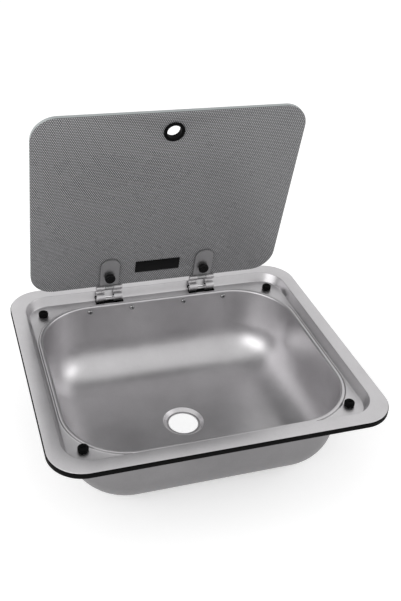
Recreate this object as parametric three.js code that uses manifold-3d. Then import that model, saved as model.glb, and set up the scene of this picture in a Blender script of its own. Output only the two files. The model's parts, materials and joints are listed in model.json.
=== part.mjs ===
// Caravan kitchen sink with a folding glass lid: one pressed steel bowl with a recessed ledge, and a
// printed glass lid that stands open on two goose-neck hinges. Millimetres, +X right, +Y to the
// hinges, +Z up. The origin is the centre of the worktop plane on which the flange seal lies.
import * as THREE from 'three';
import { mergeVertices } from 'three/addons/utils/BufferGeometryUtils.js';
import Module from 'manifold-3d';

const wasm = await Module();
wasm.setup();

// ---------------------------------------------------------------- driving dimensions

const SEAT = 0.3;                 // gap between two pieces that lie on each other
const RUNNING = 0.25;             // radial gap of a pin in its eye
const CUT_REACH = 3;              // how far a cutter runs past the face it cuts
const CORNER_STEPS = 8;           // facets in a plan corner
const BEND_STEPS = 3;             // facets in a sheet bend
const ROUND_STEPS = 20;           // facets round a knob, a buffer or a hole
const ROD_STEPS = 12;             // facets round a pin, a rod or a screw

const sheet = { thickness: 1.0, bend: 0.3 };       // bend: inner radius of a sharp bend

const flange = { width: 420, depth: 370, corner: 42, flat: 18.5 };

const step = { drop: 13, run: 5, corner: 35, footRadius: 1.5 };

const rim = {                     // raised bead round the bowl mouth
  sideLedge: 1.5, rearLedge: 9.8, frontLedge: 3.8,
  corner: 84, height: 1.5, rise: 3.2, roll: 4.0,
};

const bowl = { depth: 120, draft: 3, bottomRadius: 57, floorFall: 1.2, bottomSteps: 7 };

const drain = { recessRadius: 28.25, wallRun: 5, drop: 4, footRadius: 1.0, holeRadius: 20.5 };

const seal = { height: 6, wallGap: 3.5, overhang: 0.8 };      // wallGap: from the recess's edge

const buffer = {
  radius: 6.5, edge: 1.2, neck: 2.4, bulb: 3.8, tail: 4,
  fromSide: 19.5, fromRear: 23, fromFront: 25,     // its centre from the edges of the ledge
};

const glass = {
  thickness: 5, corner: 33,
  sideGap: 6.5, frontGap: 16.5,   // edges of the ledge to the closed lid's edges
  rearGap: 3.5,                   // bowl mouth to the closed lid's hinge edge
  sink: 1,                        // top face below the flange, lid closed
  studHole: 4.2,
};

const finger = { fromFreeEdge: 29, bore: 9.5, wall: 1.3, lipRadius: 14, lipHeight: 1.6 };

const label = { width: 65, height: 20.5, corner: 1, thickness: 0.5, fromHingeEdge: 20.5 };

const hinge = {
  screwInset: 0.8,                // outer screw to the end of the bowl's straight rear wall
  cutClearance: 0.9,              // an arm's eye to the cut-out's upper edge
  openAngle: 78,                  // from the closed lid to the rest pose
  pivotBack: 20.5,                // pivot behind the lid's hinge edge
  pivotBelow: 6,                  // pivot below the lid's under face
  pinRadius: 2.5,
};

const arm = {
  innerX: 6.6, width: 12, thickness: 1.8,
  neckRadius: 5.4,                // centre line of the goose neck
  reach: 10.7,                    // pivot to the upright part of the neck
  bendRadius: 4.2, eyeRadius: 4.6,
};

const rod = { radius: 1.6, overhang: 0.8 };

const leaf = { width: 27, thickness: 1.6, length: 51, nose: 12, knuckleRadius: 3.2 };

const gasket = { thickness: 0.6, inset: 1.0 };

const knob = {
  radius: 7.4, height: 6.2, edge: 1,
  waist: 6, neckHeight: 2,
  studRadius: 3, fromHingeEdge: 19,
};

const cap = { radius: 10, height: 3, edge: 1, grip: 2, washer: 0.6 };

const cup = {
  wall: 1.6, sideWall: 0.9, headroom: 0.6,
  lugRadius: 4.2, corner: 2.5,
  collar: 1.5,                    // how far the cup reaches under the ledge, past the cut-out's sides
  earWidth: 17, earThickness: 2.2,
};

const screw = {
  spacing: 61.4, belowFlange: 20, shaft: 2, length: 7,
  headRadius: 3.5, headTop: 2.4, headEdge: 0.6, headHeight: 1.8,
};

// ---------------------------------------------------------------- derived heights and places
// Heights are counted from the flange's top face, except in the lid, which is drawn closed and
// counted from its pivot.

const FLANGE_TOP = seal.height + SEAT + sheet.thickness;
const BEND_RADIUS = sheet.bend + sheet.thickness;
const LEDGE_Z = -step.drop;
const CREST_Z = LEDGE_Z + rim.height;
const RECESS_X = flange.width / 2 - flange.flat;
const RECESS_Y = flange.depth / 2 - flange.flat;
const FOOT_X = RECESS_X - step.run;
const FOOT_Y = RECESS_Y - step.run;
const BEAD_X = FOOT_X - rim.sideLedge;
const BEAD_REAR = FOOT_Y - rim.rearLedge;
const BEAD_FRONT = rim.frontLedge - FOOT_Y;
const MOUTH_REAR = BEAD_REAR - rim.rise - rim.roll;
const ROLL_Z = CREST_Z - rim.roll;
const FLOOR_EDGE_Z = bowl.floorFall - bowl.depth;
const DRAFT = THREE.MathUtils.degToRad(bowl.draft);

const LID_X = FOOT_X - glass.sideGap;
const LID_REAR = MOUTH_REAR - glass.rearGap;
const LID_FRONT = glass.frontGap - FOOT_Y;
const LID_DEPTH = LID_REAR - LID_FRONT;
const LID_UNDER = -glass.sink - glass.thickness;
const HINGE_X = BEAD_X - rim.corner - hinge.screwInset - screw.spacing / 2;
const PIVOT_Y = LID_REAR + hinge.pivotBack;
const PIVOT_Z = LID_UNDER - hinge.pivotBelow;

const ARM_OUTER_X = arm.innerX + arm.width;
const ARM_SWEEP = 2 * arm.neckRadius + arm.thickness / 2;      // the neck's farthest point from the pivot
const CUP_INNER_X = ARM_OUTER_X + SEAT;
const CUP_X = CUP_INNER_X + cup.sideWall;
const CUP_TOP = LEDGE_Z - sheet.thickness - SEAT;
const CUP_FLOOR = PIVOT_Z - ARM_SWEEP - SEAT;
const CAVITY_FRONT = PIVOT_Y - ARM_SWEEP - cup.headroom;
const CAVITY_REAR = PIVOT_Y + arm.eyeRadius + SEAT;
const CUT_X = CUP_X + SEAT;
const CUT_TOP = PIVOT_Z + arm.eyeRadius + hinge.cutClearance;
const COLLAR_X = CUT_X + cup.collar;

const LID_EDGE = -hinge.pivotBack;                             // the lid's hinge edge, from the pivot
const GLASS_UNDER = hinge.pivotBelow;
const GLASS_TOP = GLASS_UNDER + glass.thickness;
const GASKET_TOP = GLASS_UNDER - SEAT;
const LEAF_TOP = GASKET_TOP - gasket.thickness - SEAT;
const LEAF_UNDER = LEAF_TOP - leaf.thickness;
const KNUCKLE_Z = LEAF_TOP - leaf.knuckleRadius;
const KNOB_Y = LID_EDGE - knob.fromHingeEdge;
const CAP_UNDER = GLASS_TOP + SEAT + cap.washer + SEAT;

// ---------------------------------------------------------------- materials

function metal(tint, roughness) {
  return new THREE.MeshStandardMaterial({ color: tint, roughness, metalness: 1 });
}

function plastic(tint, roughness) {
  return new THREE.MeshStandardMaterial({ color: tint, roughness, metalness: 0 });
}

const satinSteel = () => metal(0xa6a4a6, 0.38);
const brightSteel = () => metal(0xc4c3c4, 0.25);
const blackRubber = () => plastic(0x121212, 0.7);
const blackPlastic = () => plastic(0x0c0c0d, 0.45);
const printedGlass = () => plastic(0x7b7c7f, 0.12);

// ---------------------------------------------------------------- helpers

function named(name, geometry, material) {
  const mesh = new THREE.Mesh(geometry, material);
  mesh.name = name;
  return mesh;
}

function solid(geometry) {
  const bare = geometry.clone();
  bare.deleteAttribute('normal');
  bare.deleteAttribute('uv');
  const merged = mergeVertices(bare, 1e-4);
  const vertProperties = new Float32Array(merged.attributes.position.array);
  const triVerts = new Uint32Array(merged.index.array);
  return new wasm.Manifold(new wasm.Mesh({ numProp: 3, vertProperties, triVerts }));
}

function geometryOf(manifold) {
  const mesh = manifold.getMesh();
  const geometry = new THREE.BufferGeometry();
  geometry.setAttribute('position', new THREE.BufferAttribute(new Float32Array(mesh.vertProperties), 3));
  geometry.setIndex(new THREE.BufferAttribute(new Uint32Array(mesh.triVerts), 1));
  geometry.computeVertexNormals();
  return geometry;
}

function cutFrom(geometry, cutters) {
  return geometryOf(cutters.reduce((left, cutter) => left.subtract(solid(cutter)), solid(geometry)));
}

function joined(geometries) {
  return geometryOf(geometries.map(solid).reduce((sum, next) => sum.add(next)));
}

function box(x0, x1, y0, y1, z0, z1) {
  const geometry = new THREE.BoxGeometry(x1 - x0, y1 - y0, z1 - z0);
  return geometry.translate((x0 + x1) / 2, (y0 + y1) / 2, (z0 + z1) / 2);
}

// A plan outline with rounded corners.
function roundedShape(x0, x1, y0, y1, radius) {
  const shape = new THREE.Shape();
  shape.moveTo(x0 + radius, y0);
  shape.lineTo(x1 - radius, y0);
  shape.absarc(x1 - radius, y0 + radius, radius, -Math.PI / 2, 0, false);
  shape.lineTo(x1, y1 - radius);
  shape.absarc(x1 - radius, y1 - radius, radius, 0, Math.PI / 2, false);
  shape.lineTo(x0 + radius, y1);
  shape.absarc(x0 + radius, y1 - radius, radius, Math.PI / 2, Math.PI, false);
  shape.lineTo(x0, y0 + radius);
  shape.absarc(x0 + radius, y0 + radius, radius, Math.PI, 1.5 * Math.PI, false);
  return shape;
}

function circle(x, y, radius) {
  return new THREE.Path().absarc(x, y, radius, 0, 2 * Math.PI, false);
}

function extrudeUp(shape, z0, z1, curveSegments = CORNER_STEPS) {
  const geometry = new THREE.ExtrudeGeometry(shape, { depth: z1 - z0, bevelEnabled: false, curveSegments });
  return geometry.translate(0, 0, z0);
}

// A shape drawn in (y, z), extruded from x0 to x1.
function extrudeAcross(shape, x0, x1, curveSegments = CORNER_STEPS) {
  const geometry = extrudeUp(shape, x0, x1, curveSegments);
  const turn = new THREE.Matrix4().makeBasis(
    new THREE.Vector3(0, 1, 0),
    new THREE.Vector3(0, 0, 1),
    new THREE.Vector3(1, 0, 0),
  );
  return geometry.applyMatrix4(turn);
}

function rodAcross(y, z, radius, x0, x1) {
  const geometry = new THREE.CylinderGeometry(radius, radius, x1 - x0, ROD_STEPS);
  geometry.rotateZ(Math.PI / 2);
  return geometry.translate((x0 + x1) / 2, y, z);
}

function rodAlongY(x, z, radius, y0, y1) {
  const geometry = new THREE.CylinderGeometry(radius, radius, y1 - y0, ROD_STEPS);
  return geometry.translate(x, (y0 + y1) / 2, z);
}

function rodUp(x, y, radius, z0, z1) {
  const geometry = new THREE.CylinderGeometry(radius, radius, z1 - z0, ROUND_STEPS);
  geometry.rotateX(Math.PI / 2);
  return geometry.translate(x, y, (z0 + z1) / 2);
}

// A piece turned about the z axis from [radius, height] pairs, listed upwards along its outside.
function turned(profile, steps = ROUND_STEPS) {
  const points = profile.map(([radius, height]) => new THREE.Vector2(radius, height));
  return new THREE.LatheGeometry(points, steps).rotateX(Math.PI / 2);
}

// ---------------------------------------------------------------- the pressed bowl

// One closed line round the sink at one height. Every ring has the same number of points.
function ring(x, rear, front, corner, z) {
  const points = [];
  const corners = [[x, rear, 0], [-x, rear, 1], [-x, front, 2], [x, front, 3]];
  for (const [cornerX, cornerY, quarter] of corners) {
    const centreX = cornerX - Math.sign(cornerX) * corner;
    const centreY = cornerY - (cornerY === rear ? corner : -corner);
    for (let i = 0; i <= CORNER_STEPS; i += 1) {
      const angle = (quarter + i / CORNER_STEPS) * Math.PI / 2;
      points.push(new THREE.Vector3(
        centreX + corner * Math.cos(angle),
        centreY + corner * Math.sin(angle),
        z,
      ));
    }
  }
  return points;
}

// A step down in the sheet as [inset, height] pairs: a sharp upper bend, a sloped wall and a foot.
function stepDown(run, drop, footRadius) {
  const slope = Math.atan2(drop, run);
  const topStart = -BEND_RADIUS * Math.tan(slope / 2);
  const footEnd = run + footRadius * Math.tan(slope / 2);
  const pairs = [];
  for (let i = 0; i <= BEND_STEPS; i += 1) {
    const angle = slope * i / BEND_STEPS;
    pairs.push([topStart + BEND_RADIUS * Math.sin(angle), BEND_RADIUS * (Math.cos(angle) - 1)]);
  }
  for (let i = BEND_STEPS; i >= 0; i -= 1) {
    const angle = slope * i / BEND_STEPS;
    pairs.push([footEnd - footRadius * Math.sin(angle), footRadius * (1 - Math.cos(angle)) - drop]);
  }
  return pairs;
}

// From the ledge over the bead, down the wall and round to the floor, as [inset, height] pairs.
function beadAndWall() {
  const pairs = [];
  for (let i = 0; i < BEND_STEPS; i += 1) {
    const part = i / BEND_STEPS;
    pairs.push([rim.rise * part, LEDGE_Z + rim.height * (1 - Math.cos(Math.PI * part)) / 2]);
  }
  for (let i = 0; i <= BEND_STEPS; i += 1) {
    const angle = (Math.PI / 2 - DRAFT) * i / BEND_STEPS;
    pairs.push([rim.rise + rim.roll * Math.sin(angle), ROLL_Z + rim.roll * Math.cos(angle)]);
  }
  const [wallInset, wallZ] = pairs[pairs.length - 1];
  const centreZ = FLOOR_EDGE_Z + bowl.bottomRadius;
  const wallEndZ = centreZ - bowl.bottomRadius * Math.sin(DRAFT);
  const wallEndInset = wallInset + (wallZ - wallEndZ) * Math.tan(DRAFT);
  const centreInset = wallEndInset + bowl.bottomRadius * Math.cos(DRAFT);
  for (let i = 0; i <= bowl.bottomSteps; i += 1) {
    const angle = DRAFT + (Math.PI / 2 - DRAFT) * i / bowl.bottomSteps;
    pairs.push([
      centreInset - bowl.bottomRadius * Math.cos(angle),
      centreZ - bowl.bottomRadius * Math.sin(angle),
    ]);
  }
  return pairs;
}

function drainRing(radius, z) {
  const straight = 0.02;
  return ring(radius, radius, -radius, radius - straight, z);
}

// The upper face of the sheet, from the flange's edge inwards to the drain hole.
function upperRings() {
  const rings = [ring(flange.width / 2, flange.depth / 2, -flange.depth / 2, flange.corner, 0)];
  for (const [inset, z] of stepDown(step.run, step.drop, step.footRadius)) {
    rings.push(ring(RECESS_X - inset, RECESS_Y - inset, inset - RECESS_Y, step.corner - inset, z));
  }
  for (const [inset, z] of beadAndWall()) {
    rings.push(ring(BEAD_X - inset, BEAD_REAR - inset, BEAD_FRONT + inset, rim.corner - inset, z));
  }
  for (const [inset, z] of stepDown(drain.wallRun, drain.drop, drain.footRadius)) {
    rings.push(drainRing(drain.recessRadius - inset, z - bowl.depth));
  }
  rings.push(drainRing(drain.holeRadius, -bowl.depth - drain.drop));
  return rings;
}

// Each point of the upper face moved through the sheet's thickness, along the face's normal.
function underside(rings) {
  const last = rings.length - 1;
  return rings.map((points, row) => points.map((point, i) => {
    const count = points.length;
    const along = points[(i + 1) % count].clone().sub(points[(i + count - 1) % count]);
    const inwards = rings[Math.min(row + 1, last)][i].clone().sub(rings[Math.max(row - 1, 0)][i]);
    const normal = along.cross(inwards).normalize();
    return point.clone().addScaledVector(normal, -sheet.thickness);
  }));
}

// Rings joined into one skin that closes on itself in both directions.
function closedSkin(rings) {
  const count = rings[0].length;
  const positions = rings.flat().flatMap((point) => point.toArray());
  const index = [];
  for (let row = 0; row < rings.length; row += 1) {
    const next = (row + 1) % rings.length;
    for (let i = 0; i < count; i += 1) {
      const a = row * count + i;
      const b = row * count + (i + 1) % count;
      const c = next * count + (i + 1) % count;
      const d = next * count + i;
      index.push(a, b, c, a, c, d);
    }
  }
  const geometry = new THREE.BufferGeometry();
  geometry.setAttribute('position', new THREE.Float32BufferAttribute(positions, 3));
  geometry.setIndex(index);
  return geometry;
}

function hingeCutters(x) {
  const pinTop = PIVOT_Z + hinge.pinRadius + SEAT;
  const below = CUP_TOP - SEAT;
  const plan = roundedShape(x - CUT_X, x + CUT_X, CAVITY_FRONT, CAVITY_REAR + cup.wall, cup.corner);
  const slot = arm.innerX - SEAT;
  return [
    extrudeUp(plan, below, pinTop),
    box(x - CUT_X, x - slot, PIVOT_Y - arm.eyeRadius, CAVITY_REAR + SEAT, below, CUT_TOP),
    box(x + slot, x + CUT_X, PIVOT_Y - arm.eyeRadius, CAVITY_REAR + SEAT, below, CUT_TOP),
  ];
}

function bufferPlaces() {
  const x = FOOT_X - buffer.fromSide;
  const rear = FOOT_Y - buffer.fromRear;
  const front = buffer.fromFront - FOOT_Y;
  return [
    ['rear_left', -x, rear],
    ['rear_right', x, rear],
    ['front_left', -x, front],
    ['front_right', x, front],
  ];
}

function hingePlaces() {
  return [['left', -HINGE_X, -1], ['right', HINGE_X, 1]];
}

function screwPlaces(x, side) {
  return [['outer', x + side * screw.spacing / 2], ['inner', x - side * screw.spacing / 2]];
}

function sinkBowl() {
  const upper = upperRings();
  const skin = closedSkin([...upper, ...underside(upper).reverse()]);
  const cutters = bufferPlaces().map(([, x, y]) => (
    rodUp(x, y, buffer.neck + SEAT, LEDGE_Z - CUT_REACH, LEDGE_Z + CUT_REACH)
  ));
  for (const [, x, side] of hingePlaces()) {
    cutters.push(...hingeCutters(x));
    for (const [, screwX] of screwPlaces(x, side)) {
      const radius = screw.shaft + SEAT;
      const [front, rear] = [MOUTH_REAR - CUT_REACH, MOUTH_REAR + CUT_REACH];
      cutters.push(rodAlongY(screwX, -screw.belowFlange, radius, front, rear));
    }
  }
  return named('sink_bowl', cutFrom(skin, cutters), satinSteel());
}

// ---------------------------------------------------------------- seal and buffers

function flangeSeal() {
  const x = flange.width / 2 + seal.overhang;
  const y = flange.depth / 2 + seal.overhang;
  const width = flange.flat - seal.wallGap + seal.overhang;
  const corner = flange.corner + seal.overhang;
  const [innerX, innerY] = [x - width, y - width];
  const shape = roundedShape(-x, x, -y, y, corner);
  shape.holes.push(roundedShape(-innerX, innerX, -innerY, innerY, corner - width));
  const top = -sheet.thickness - SEAT;
  return named('flange_seal', extrudeUp(shape, top - seal.height, top), blackRubber());
}

function lidBuffer(name, x, y) {
  const top = LID_UNDER - SEAT;
  const seat = LEDGE_Z + SEAT;
  const under = LEDGE_Z - sheet.thickness - SEAT;
  const geometry = turned([
    [0, under - buffer.tail],
    [buffer.neck, under - buffer.tail],
    [buffer.bulb, under],
    [buffer.neck, under],
    [buffer.neck, seat],
    [buffer.radius, seat],
    [buffer.radius, top - buffer.edge],
    [buffer.radius - buffer.edge, top],
    [0, top],
  ]);
  const mesh = named(`lid_buffer_${name}`, geometry, blackRubber());
  mesh.position.set(x, y, 0);
  return mesh;
}

// ---------------------------------------------------------------- fixed half of a hinge

function hingeCup(name, side) {
  const front = CAVITY_FRONT - cup.wall;
  const rear = CAVITY_REAR + cup.wall;
  const bottom = CUP_FLOOR - cup.wall;
  const web = arm.innerX - SEAT;
  const earX = CUP_X + cup.earWidth;
  const earFront = MOUTH_REAR + sheet.thickness + SEAT;
  const shell = joined([
    box(-CUP_X, CUP_X, front, rear, bottom, CUP_TOP),
    box(-COLLAR_X, COLLAR_X, front, rear, CUP_TOP - cup.wall, CUP_TOP),
    box(-COLLAR_X, COLLAR_X, CAVITY_REAR, rear, CUP_TOP - cup.wall, CUT_TOP + SEAT),
    box(-earX, earX, earFront, earFront + cup.earThickness, bottom, ROLL_Z),
    rodAcross(PIVOT_Y, PIVOT_Z, cup.lugRadius, -CUP_X, CUP_X),
  ]);
  const clearTop = PIVOT_Z + 2 * cup.lugRadius;
  const pockets = [-1, 1].map((half) => {
    const ends = [half * web, half * CUP_INNER_X].sort((a, b) => a - b);
    return box(ends[0], ends[1], CAVITY_FRONT, CAVITY_REAR, CUP_FLOOR, clearTop);
  });
  const saddle = box(-web - SEAT, web + SEAT, front - SEAT, rear + SEAT, CUP_TOP, clearTop);
  const bores = screwPlaces(0, side).map(([, x]) => (
    rodAlongY(x, -screw.belowFlange, screw.shaft + SEAT, earFront - SEAT, earFront + cup.earThickness + SEAT)
  ));
  const pinHole = rodAcross(PIVOT_Y, PIVOT_Z, hinge.pinRadius + RUNNING, -CUP_X - SEAT, CUP_X + SEAT);
  return named(`hinge_cup_${name}`, cutFrom(shell, [...pockets, saddle, pinHole, ...bores]), blackPlastic());
}

function cupScrew(name, x) {
  const wallDown = screw.belowFlange + ROLL_Z;
  const headBack = MOUTH_REAR - wallDown * Math.tan(DRAFT) - 2 * SEAT;
  const geometry = turned([
    [0, -screw.length],
    [screw.shaft, -screw.length],
    [screw.shaft, 0],
    [screw.headRadius, 0],
    [screw.headRadius, screw.headEdge],
    [screw.headTop, screw.headHeight],
    [0, screw.headHeight],
  ], ROD_STEPS).rotateX(Math.PI / 2);
  const mesh = named(`cup_screw_${name}`, geometry, brightSteel());
  mesh.position.set(x, headBack, -screw.belowFlange);
  return mesh;
}

function fixedHinge(name, x, side) {
  const group = new THREE.Group();
  const pin = rodAcross(PIVOT_Y, PIVOT_Z, hinge.pinRadius, -CUP_X, CUP_X);
  group.add(hingeCup(name, side));
  group.add(named(`hinge_pin_${name}`, pin, brightSteel()));
  for (const [place, screwX] of screwPlaces(0, side)) {
    group.add(cupScrew(`${name}_${place}`, screwX));
  }
  group.position.x = x;
  return group;
}

// ---------------------------------------------------------------- lid, drawn closed from its pivot

function glassLid() {
  const front = LID_EDGE - LID_DEPTH;
  const shape = roundedShape(-LID_X, LID_X, front, LID_EDGE, glass.corner);
  shape.holes.push(circle(0, front + finger.fromFreeEdge, finger.bore + finger.wall + SEAT));
  for (const [, x] of hingePlaces()) {
    shape.holes.push(circle(x, KNOB_Y, glass.studHole));
  }
  return named('glass_lid', extrudeUp(shape, GLASS_UNDER, GLASS_TOP, ROUND_STEPS / 2), printedGlass());
}

function fingerRing() {
  const outside = finger.bore + finger.wall;
  const lowLip = GLASS_UNDER - SEAT;
  const highLip = GLASS_TOP + SEAT;
  const geometry = turned([
    [finger.bore, lowLip - finger.lipHeight],
    [finger.lipRadius, lowLip - finger.lipHeight],
    [finger.lipRadius, lowLip],
    [outside, lowLip],
    [outside, highLip],
    [finger.lipRadius, highLip],
    [finger.lipRadius, highLip + finger.lipHeight],
    [finger.bore, highLip + finger.lipHeight],
    [finger.bore, lowLip - finger.lipHeight],
  ]);
  const mesh = named('finger_ring', geometry, blackRubber());
  mesh.position.y = LID_EDGE - LID_DEPTH + finger.fromFreeEdge;
  return mesh;
}

function labelPlate() {
  const far = LID_EDGE - label.fromHingeEdge - label.height;
  const shape = roundedShape(-label.width / 2, label.width / 2, far, far + label.height, label.corner);
  const top = GLASS_UNDER - SEAT;
  return named('label_plate', extrudeUp(shape, top - label.thickness, top, BEND_STEPS), blackPlastic());
}

// The band leaves the pivot eye, goes down and round as a goose neck, and bends to the lid.
function armBand() {
  const half = arm.thickness / 2;
  const neckY = arm.neckRadius - arm.reach;
  const neckZ = -Math.sqrt(arm.neckRadius ** 2 - neckY ** 2);
  const start = Math.atan2(-neckZ, -neckY);
  const bendY = -arm.reach - arm.bendRadius;
  const topZ = LEAF_TOP - half;
  const bendZ = topZ - arm.bendRadius;
  const shape = new THREE.Shape();
  shape.absarc(neckY, neckZ, arm.neckRadius + half, start, -Math.PI, true);
  shape.lineTo(-arm.reach - half, bendZ);
  shape.absarc(bendY, bendZ, arm.bendRadius - half, 0, Math.PI / 2, false);
  shape.lineTo(LID_EDGE, topZ - half);
  shape.lineTo(LID_EDGE, topZ + half);
  shape.lineTo(bendY, topZ + half);
  shape.absarc(bendY, bendZ, arm.bendRadius + half, Math.PI / 2, 0, true);
  shape.lineTo(-arm.reach + half, neckZ);
  shape.absarc(neckY, neckZ, arm.neckRadius - half, -Math.PI, start, false);
  return shape;
}

function hingeArm(name, x0, x1) {
  const whole = joined([
    extrudeAcross(armBand(), x0, x1),
    rodAcross(0, 0, arm.eyeRadius, x0, x1),
    rodAcross(LID_EDGE, KNUCKLE_Z, leaf.knuckleRadius, x0, x1),
  ]);
  const holes = [
    rodAcross(0, 0, hinge.pinRadius + RUNNING, x0 - SEAT, x1 + SEAT),
    rodAcross(LID_EDGE, KNUCKLE_Z, rod.radius + RUNNING, x0 - SEAT, x1 + SEAT),
  ];
  return named(`hinge_arm_${name}`, cutFrom(whole, holes), brightSteel());
}

function hingeLeaf(name) {
  const tail = LID_EDGE - leaf.knuckleRadius - SEAT;
  const end = LID_EDGE - leaf.length;
  const half = leaf.width / 2;
  const web = arm.innerX - 2 * SEAT;
  const plan = roundedShape(-half, half, end, tail + leaf.nose, leaf.nose);
  const plate = cutFrom(extrudeUp(plan, LEAF_UNDER, LEAF_TOP), [
    box(-leaf.width, leaf.width, tail, tail + leaf.width, LEAF_UNDER - SEAT, LEAF_TOP + SEAT),
  ]);
  const whole = joined([
    plate,
    box(-web, web, tail - leaf.thickness, LID_EDGE, LEAF_UNDER, LEAF_TOP),
    rodAcross(LID_EDGE, KNUCKLE_Z, leaf.knuckleRadius, -web, web),
  ]);
  const holes = [
    rodAcross(LID_EDGE, KNUCKLE_Z, rod.radius + RUNNING, -web - SEAT, web + SEAT),
    rodUp(0, KNOB_Y, knob.studRadius + SEAT, LEAF_UNDER - SEAT, LEAF_TOP + SEAT),
  ];
  return named(`hinge_leaf_${name}`, cutFrom(whole, holes), brightSteel());
}

function leafGasket(name) {
  const half = leaf.width / 2 - gasket.inset;
  const rear = LID_EDGE - leaf.knuckleRadius - SEAT - gasket.inset;
  const end = LID_EDGE - leaf.length + gasket.inset;
  const radius = leaf.nose - gasket.inset;
  const shape = new THREE.Shape();
  shape.moveTo(-half, rear);
  shape.lineTo(-half, end + radius);
  shape.absarc(-half + radius, end + radius, radius, Math.PI, 1.5 * Math.PI, false);
  shape.absarc(half - radius, end + radius, radius, -Math.PI / 2, 0, false);
  shape.lineTo(half, rear);
  shape.holes.push(circle(0, KNOB_Y, knob.studRadius + SEAT));
  const geometry = extrudeUp(shape, GASKET_TOP - gasket.thickness, GASKET_TOP);
  return named(`leaf_gasket_${name}`, geometry, blackRubber());
}

function hingeKnob(name) {
  const top = LEAF_UNDER - SEAT;
  const bottom = top - knob.height;
  const studTop = CAP_UNDER + cap.grip - SEAT;
  const geometry = turned([
    [0, bottom],
    [knob.radius - knob.edge, bottom],
    [knob.radius, bottom + knob.edge],
    [knob.radius, top - knob.neckHeight],
    [knob.waist, top],
    [knob.studRadius, top],
    [knob.studRadius, studTop],
    [0, studTop],
  ]);
  const mesh = named(`hinge_knob_${name}`, geometry, blackPlastic());
  mesh.position.y = KNOB_Y;
  return mesh;
}

function hingeCap(name) {
  const bore = knob.studRadius + SEAT;
  const geometry = turned([
    [0, CAP_UNDER + cap.grip],
    [bore, CAP_UNDER + cap.grip],
    [bore, CAP_UNDER],
    [cap.radius, CAP_UNDER],
    [cap.radius, CAP_UNDER + cap.height - cap.edge],
    [cap.radius - cap.edge, CAP_UNDER + cap.height],
    [0, CAP_UNDER + cap.height],
  ]);
  const mesh = named(`hinge_cap_${name}`, geometry, blackPlastic());
  mesh.position.y = KNOB_Y;
  return mesh;
}

function capWasher(name) {
  const shape = new THREE.Shape();
  shape.absarc(0, 0, cap.radius, 0, 2 * Math.PI, false);
  shape.holes.push(circle(0, 0, knob.studRadius + SEAT));
  const bottom = GLASS_TOP + SEAT;
  const ringGeometry = extrudeUp(shape, bottom, bottom + cap.washer, ROUND_STEPS / 2);
  const mesh = named(`cap_washer_${name}`, ringGeometry, blackRubber());
  mesh.position.y = KNOB_Y;
  return mesh;
}

function movingHinge(name, x, side) {
  const group = new THREE.Group();
  const outerX = [side * arm.innerX, side * ARM_OUTER_X].sort((a, b) => a - b);
  const rodEnd = ARM_OUTER_X + rod.overhang;
  const crossRod = rodAcross(LID_EDGE, KNUCKLE_Z, rod.radius, -rodEnd, rodEnd);
  group.add(hingeArm(`${name}_outer`, outerX[0], outerX[1]));
  group.add(hingeArm(`${name}_inner`, -outerX[1], -outerX[0]));
  group.add(named(`hinge_rod_${name}`, crossRod, brightSteel()));
  group.add(hingeLeaf(name));
  group.add(leafGasket(name));
  group.add(hingeKnob(name));
  group.add(hingeCap(name));
  group.add(capWasher(name));
  group.position.x = x;
  return group;
}

// ---------------------------------------------------------------- assembly

const sink = new THREE.Group();
sink.position.z = FLANGE_TOP;
sink.add(sinkBowl(), flangeSeal());
for (const [name, x, y] of bufferPlaces()) {
  sink.add(lidBuffer(name, x, y));
}
for (const [name, x, side] of hingePlaces()) {
  sink.add(fixedHinge(name, x, side));
}

const lid = new THREE.Group();
lid.position.set(0, PIVOT_Y, PIVOT_Z);
lid.rotation.x = -THREE.MathUtils.degToRad(hinge.openAngle);
lid.add(glassLid(), fingerRing(), labelPlate());
for (const [name, x, side] of hingePlaces()) {
  lid.add(movingHinge(name, x, side));
}
sink.add(lid);

const part = new THREE.Group();
part.add(sink);

export default part;
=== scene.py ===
# %% [markdown]
# # A caravan sink with a folding glass lid
# The real thing is one deep-drawn sheet of stainless steel that drops into a worktop, and a printed
# glass plate that folds down over it on two goose-neck hinges. The solids that work are loaded first,
# as a fixed frame. Everything below only dresses that frame: finer shapes in the same places, real
# finishes, soft light and the camera.

# %% Load the frame
import json
import math
import bmesh
import bpy
from mathutils import Matrix, Vector


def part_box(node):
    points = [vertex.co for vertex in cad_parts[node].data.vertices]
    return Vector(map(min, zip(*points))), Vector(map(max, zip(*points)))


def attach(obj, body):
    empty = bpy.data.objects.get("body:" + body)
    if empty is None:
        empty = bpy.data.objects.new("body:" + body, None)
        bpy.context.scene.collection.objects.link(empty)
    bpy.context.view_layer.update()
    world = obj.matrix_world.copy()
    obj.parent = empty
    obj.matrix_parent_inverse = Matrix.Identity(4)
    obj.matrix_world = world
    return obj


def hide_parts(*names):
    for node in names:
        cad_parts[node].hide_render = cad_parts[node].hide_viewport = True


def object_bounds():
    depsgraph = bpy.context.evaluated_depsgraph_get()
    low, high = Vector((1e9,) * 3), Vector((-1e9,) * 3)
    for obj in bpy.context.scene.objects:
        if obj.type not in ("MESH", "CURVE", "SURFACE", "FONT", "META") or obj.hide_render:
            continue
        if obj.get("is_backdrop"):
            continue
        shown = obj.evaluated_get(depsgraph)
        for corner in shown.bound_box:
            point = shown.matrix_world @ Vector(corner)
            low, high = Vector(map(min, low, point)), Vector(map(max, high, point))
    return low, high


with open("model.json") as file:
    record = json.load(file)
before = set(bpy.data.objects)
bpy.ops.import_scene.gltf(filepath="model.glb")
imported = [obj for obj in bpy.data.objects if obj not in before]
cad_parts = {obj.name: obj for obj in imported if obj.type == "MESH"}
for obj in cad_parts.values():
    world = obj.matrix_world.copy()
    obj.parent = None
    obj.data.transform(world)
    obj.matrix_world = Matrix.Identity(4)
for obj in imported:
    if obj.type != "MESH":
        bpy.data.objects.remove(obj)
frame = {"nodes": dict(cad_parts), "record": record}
cad_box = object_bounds()
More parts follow.
